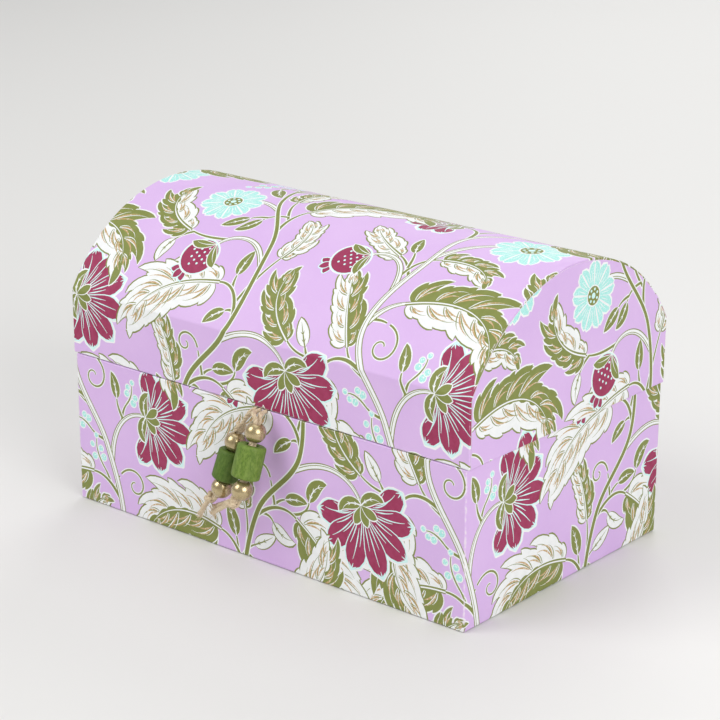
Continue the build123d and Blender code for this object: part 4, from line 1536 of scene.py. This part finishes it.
# The twine is tied in a knot above the left beads and below both sets, so that the beads
# can't slide off
LEFT_UPPER = np.array((-6.95, -69.0, 49.83))
LEFT_LOWER = np.array((-10.17, -73.59, 31.44))
RIGHT_UPPER = np.array((6.01, -71.4, 57.64))
RIGHT_LOWER = np.array((4.49, -77.78, 35.4))
LEFT_DOWN, RIGHT_DOWN = (
    (lower - upper) / np.linalg.norm(lower - upper)
    for upper, lower in ((LEFT_UPPER, LEFT_LOWER), (RIGHT_UPPER, RIGHT_LOWER))
)
KNOT_TWINE = 0.85
KNOTS = {
    "left_upper": (LEFT_UPPER - LEFT_DOWN * 6.2, LEFT_DOWN, 4.9, 4.2, 1),
    "left_lower": (np.array((-16.03, -74.0, 25.97)), (-6.1, 2.8, -4.6), 4.9, 4.4, 1),
    "right_lower": (np.array((0.79, -79.15, 29.85)), (-6.9, 2.3, -3.6), 5.6, 4.8, 2),
}


def bead_axes(down):
    """A bead's or knot's own three directions, the last along its bore."""
    down = np.array(down, float) / np.linalg.norm(down)
    side = np.cross(down, (0, -1, 0))
    side /= np.linalg.norm(side)
    return np.stack([side, np.cross(down, side), down])


def tie_knot(centre, down, width, length, twines, seed):
    """An overhand knot pulled tight, of one twine or of two side by side."""
    turn = np.linspace(0, 2 * math.pi, 160)
    spun = []
    for twine in range(twines):
        reach = (width / 2 - KNOT_TWINE) / 3
        rise = length / 2 - KNOT_TWINE + 0.2 * twine
        phase = turn + 0.5 * twine
        loop = np.stack([
            reach * (np.sin(phase) + 2 * np.sin(2 * phase)),
            reach * (np.cos(phase) - 2 * np.cos(2 * phase)),
            -rise * np.sin(3 * phase) + 0.7 * (twine - (twines - 1) / 2),
        ], axis=1)
        spun.append(spin_plies(centre + loop @ bead_axes(down), seed + twine, radius=0.5, offset=0.46))
    return join_spun(spun)


knotted = {}
for seed, (name, (centre, down, width, length, twines)) in enumerate(KNOTS.items()):
    knotted[name] = tie_knot(centre, down, width, length, twines, 40 + 5 * seed)
    knot = twine_piece(f"knot_{name}_tied", knotted[name], jute_finish)
    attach(knot, "pull")
    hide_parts(f"knot_{name}")
knot_fuzz = twine_piece("knot_fibres", join_spun(list(knotted.values())), jute_finish)
run_tree(knot_fuzz, loose_fibres, **FUZZ, seed=9)
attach(knot_fuzz, "pull")

# The beads: four round ones with a pearly gold coat, and two tubes of wood stained green,
# sawn square and rubbed round at their edges. The twine passes through their bores
BEAD_RADIUS = 4.2
BEAD_SIDES = 96
LIP = 0.3
WRAP_SCALE = 0.25
TUBE_EDGE = 1.1
GOLD, GOLD_LOW, GOLD_DUST = (0.53, 0.42, 0.215, 1), (0.38, 0.285, 0.13, 1), (0.74, 0.63, 0.40, 1)
GREEN_DARK, GREEN_PALE = (0.075, 0.14, 0.012, 1), (0.15, 0.245, 0.03, 1)
# The darkest green is painted shade, laid over the left tube only so that it looks as if in shade
GREEN_BROAD, GREEN_PAINTED_SHADE = (0.22, 0.31, 0.06, 1), (0.03, 0.085, 0.003, 1)
TUBES = {
    "left": (LEFT_UPPER, LEFT_LOWER, LEFT_DOWN, 10.6, 12.2, 2.4),
    "right": (RIGHT_UPPER, RIGHT_LOWER, RIGHT_DOWN, 11.5, 13.3, 2.4),
}
ROUND_BEADS = {
    "left_upper": (LEFT_UPPER, LEFT_DOWN, 1.3), "left_lower": (LEFT_LOWER, LEFT_DOWN, 1.3),
    "right_upper": (RIGHT_UPPER, RIGHT_DOWN, 2.05), "right_lower": (RIGHT_LOWER, RIGHT_DOWN, 2.05),
}


def quarter(centre, radius, start, count=7):
    """Points on a quarter of a circle in a profile of radii and heights."""
    angles = np.radians(np.linspace(start, start + 90, count))
    return np.array(centre) + radius * np.stack([np.cos(angles), np.sin(angles)], axis=1)


def turn_bead(name, centre, down, profile, finish, uneven=0.0, seed=0):
    """A bead: a closed profile turned round its bore, a little out of true."""
    chance = np.random.default_rng(seed)
    waves = chance.uniform(0, 2 * math.pi, 3)
    angle = np.linspace(0, 2 * math.pi, BEAD_SIDES, endpoint=False)
    wobble = 1 + uneven * (np.sin(2 * angle + waves[0]) + 0.6 * np.sin(3 * angle + waves[1]))
    radii, heights = profile[:, :1], profile[:, 1:]
    lean = uneven * 12 * np.sin(angle + waves[2]) * heights / np.abs(heights).max() * radii / radii.max()
    local = np.stack([
        radii * np.cos(angle) * wobble, radii * np.sin(angle) * wobble, heights + lean * 0.5], axis=2)
    points = centre + local.reshape(-1, 3) @ bead_axes(down)
    rows, sides = len(profile), BEAD_SIDES
    faces = [
        (row * sides + side, row * sides + (side + 1) % sides,
         (row + 1) % rows * sides + (side + 1) % sides, (row + 1) % rows * sides + side)
        for row in range(rows) for side in range(sides)
    ]
    piece = make_piece(name, points, faces, finish)
    shape = bmesh.new()
    shape.from_mesh(piece.data)
    bmesh.ops.recalc_face_normals(shape, faces=shape.faces)
    shape.to_mesh(piece.data)
    shape.free()
    around = np.tile(angle, rows)
    wraps = np.column_stack([
        radii.repeat(sides) * np.cos(around), radii.repeat(sides) * np.sin(around), heights.repeat(sides)])
    keep_on_points(piece, "wrap", "FLOAT_VECTOR", wraps * WRAP_SCALE)
    piece.data.shade_smooth()
    return piece


def bored(outer, bore, top):
    """A bead's whole profile: its outside, then over the lip and down through its bore."""
    lip = quarter((bore + LIP, top - LIP), LIP, 90)
    return np.vstack([outer, lip, lip[::-1] * (1, -1)])


gold_finish = new_finish(
    "pearly_gold", metallic=0.75, roughness=0.3, coat_weight=1.0, coat_roughness=0.17)
tree = gold_finish.node_tree
where = object_place(tree)
cloud = noise(tree, where, 2.4, 3.0)
dust = noise(tree, where, 0.16, 1.0)
colour = mix_colours(tree, spread(tree, cloud, 0.35, 0.7), GOLD, GOLD_LOW)
colour = mix_colours(tree, spread(tree, dust, 0.55, 0.75, 0.0, 0.5), colour, GOLD_DUST)
wire_shader(gold_finish, colour, spread(tree, cloud, 0.3, 0.7, 0.2, 0.32), dust, 0.012)

wood_finish = new_finish("green_stained_wood", roughness=0.55, specular_ior_level=0.4)
tree = wood_finish.node_tree
fibres = place_group(tree, long_fibres, {"Fineness": 11.0, "Length": 2.5})
broad = place_group(tree, long_fibres, {"Fineness": 3.0, "Length": 2.0})
colour = mix_colours(tree, spread(tree, fibres["Streak"], 0.35, 0.68), GREEN_DARK, GREEN_PALE)
colour = mix_colours(tree, spread(tree, broad["Streak"], 0.4, 0.7, 0.0, 0.7), colour, GREEN_BROAD)
# Painted shade: the left tube's colour is darkened towards the darkest green, as if it stood in shade
painted_shade_share = maths(tree, "MULTIPLY", kept_value(tree, "painted_shade"), 0.5)
colour = mix_colours(tree, painted_shade_share, colour, GREEN_PAINTED_SHADE)
wire_shader(
    wood_finish, colour, spread(tree, fibres["Streak"], 0.3, 0.7, 0.48, 0.66), fibres["Streak"], 0.06)

for seed, (name, (centre, down, bore)) in enumerate(ROUND_BEADS.items()):
    lowest = math.acos((bore + LIP) / BEAD_RADIUS)
    angles = np.linspace(-lowest, lowest, 41)
    outer = BEAD_RADIUS * np.stack([np.cos(angles), np.sin(angles)], axis=1)
    profile = bored(outer[:-1], bore, BEAD_RADIUS * math.sin(lowest))
    bead = turn_bead(f"gold_bead_{name}", centre, down, profile, gold_finish, 0.003, seed)
    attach(bead, "pull")
    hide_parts(f"bead_{name}")

for seed, (name, (above, below, down, width, length, bore)) in enumerate(TUBES.items()):
    corner = quarter((width / 2 - TUBE_EDGE, length / 2 - TUBE_EDGE), TUBE_EDGE, 0)
    rises = np.linspace(-1, 1, 9)[1:-1] * (length / 2 - TUBE_EDGE)
    side = np.stack([np.full(len(rises), width / 2), rises], axis=1)
    profile = bored(np.vstack([corner[::-1] * (1, -1), side, corner]), bore, length / 2 - 0.02)
    tube = turn_bead(
        f"green_tube_{name}", (above + below) / 2, down, profile, wood_finish, 0.006, seed + 8)
    # The left tube is marked for the painted shade that darkens its colour
    keep_on_points(tube, "painted_shade", "FLOAT", np.full(len(tube.data.vertices), float(name == "left")))
    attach(tube, "pull")
    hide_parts(f"tube_bead_{name}")
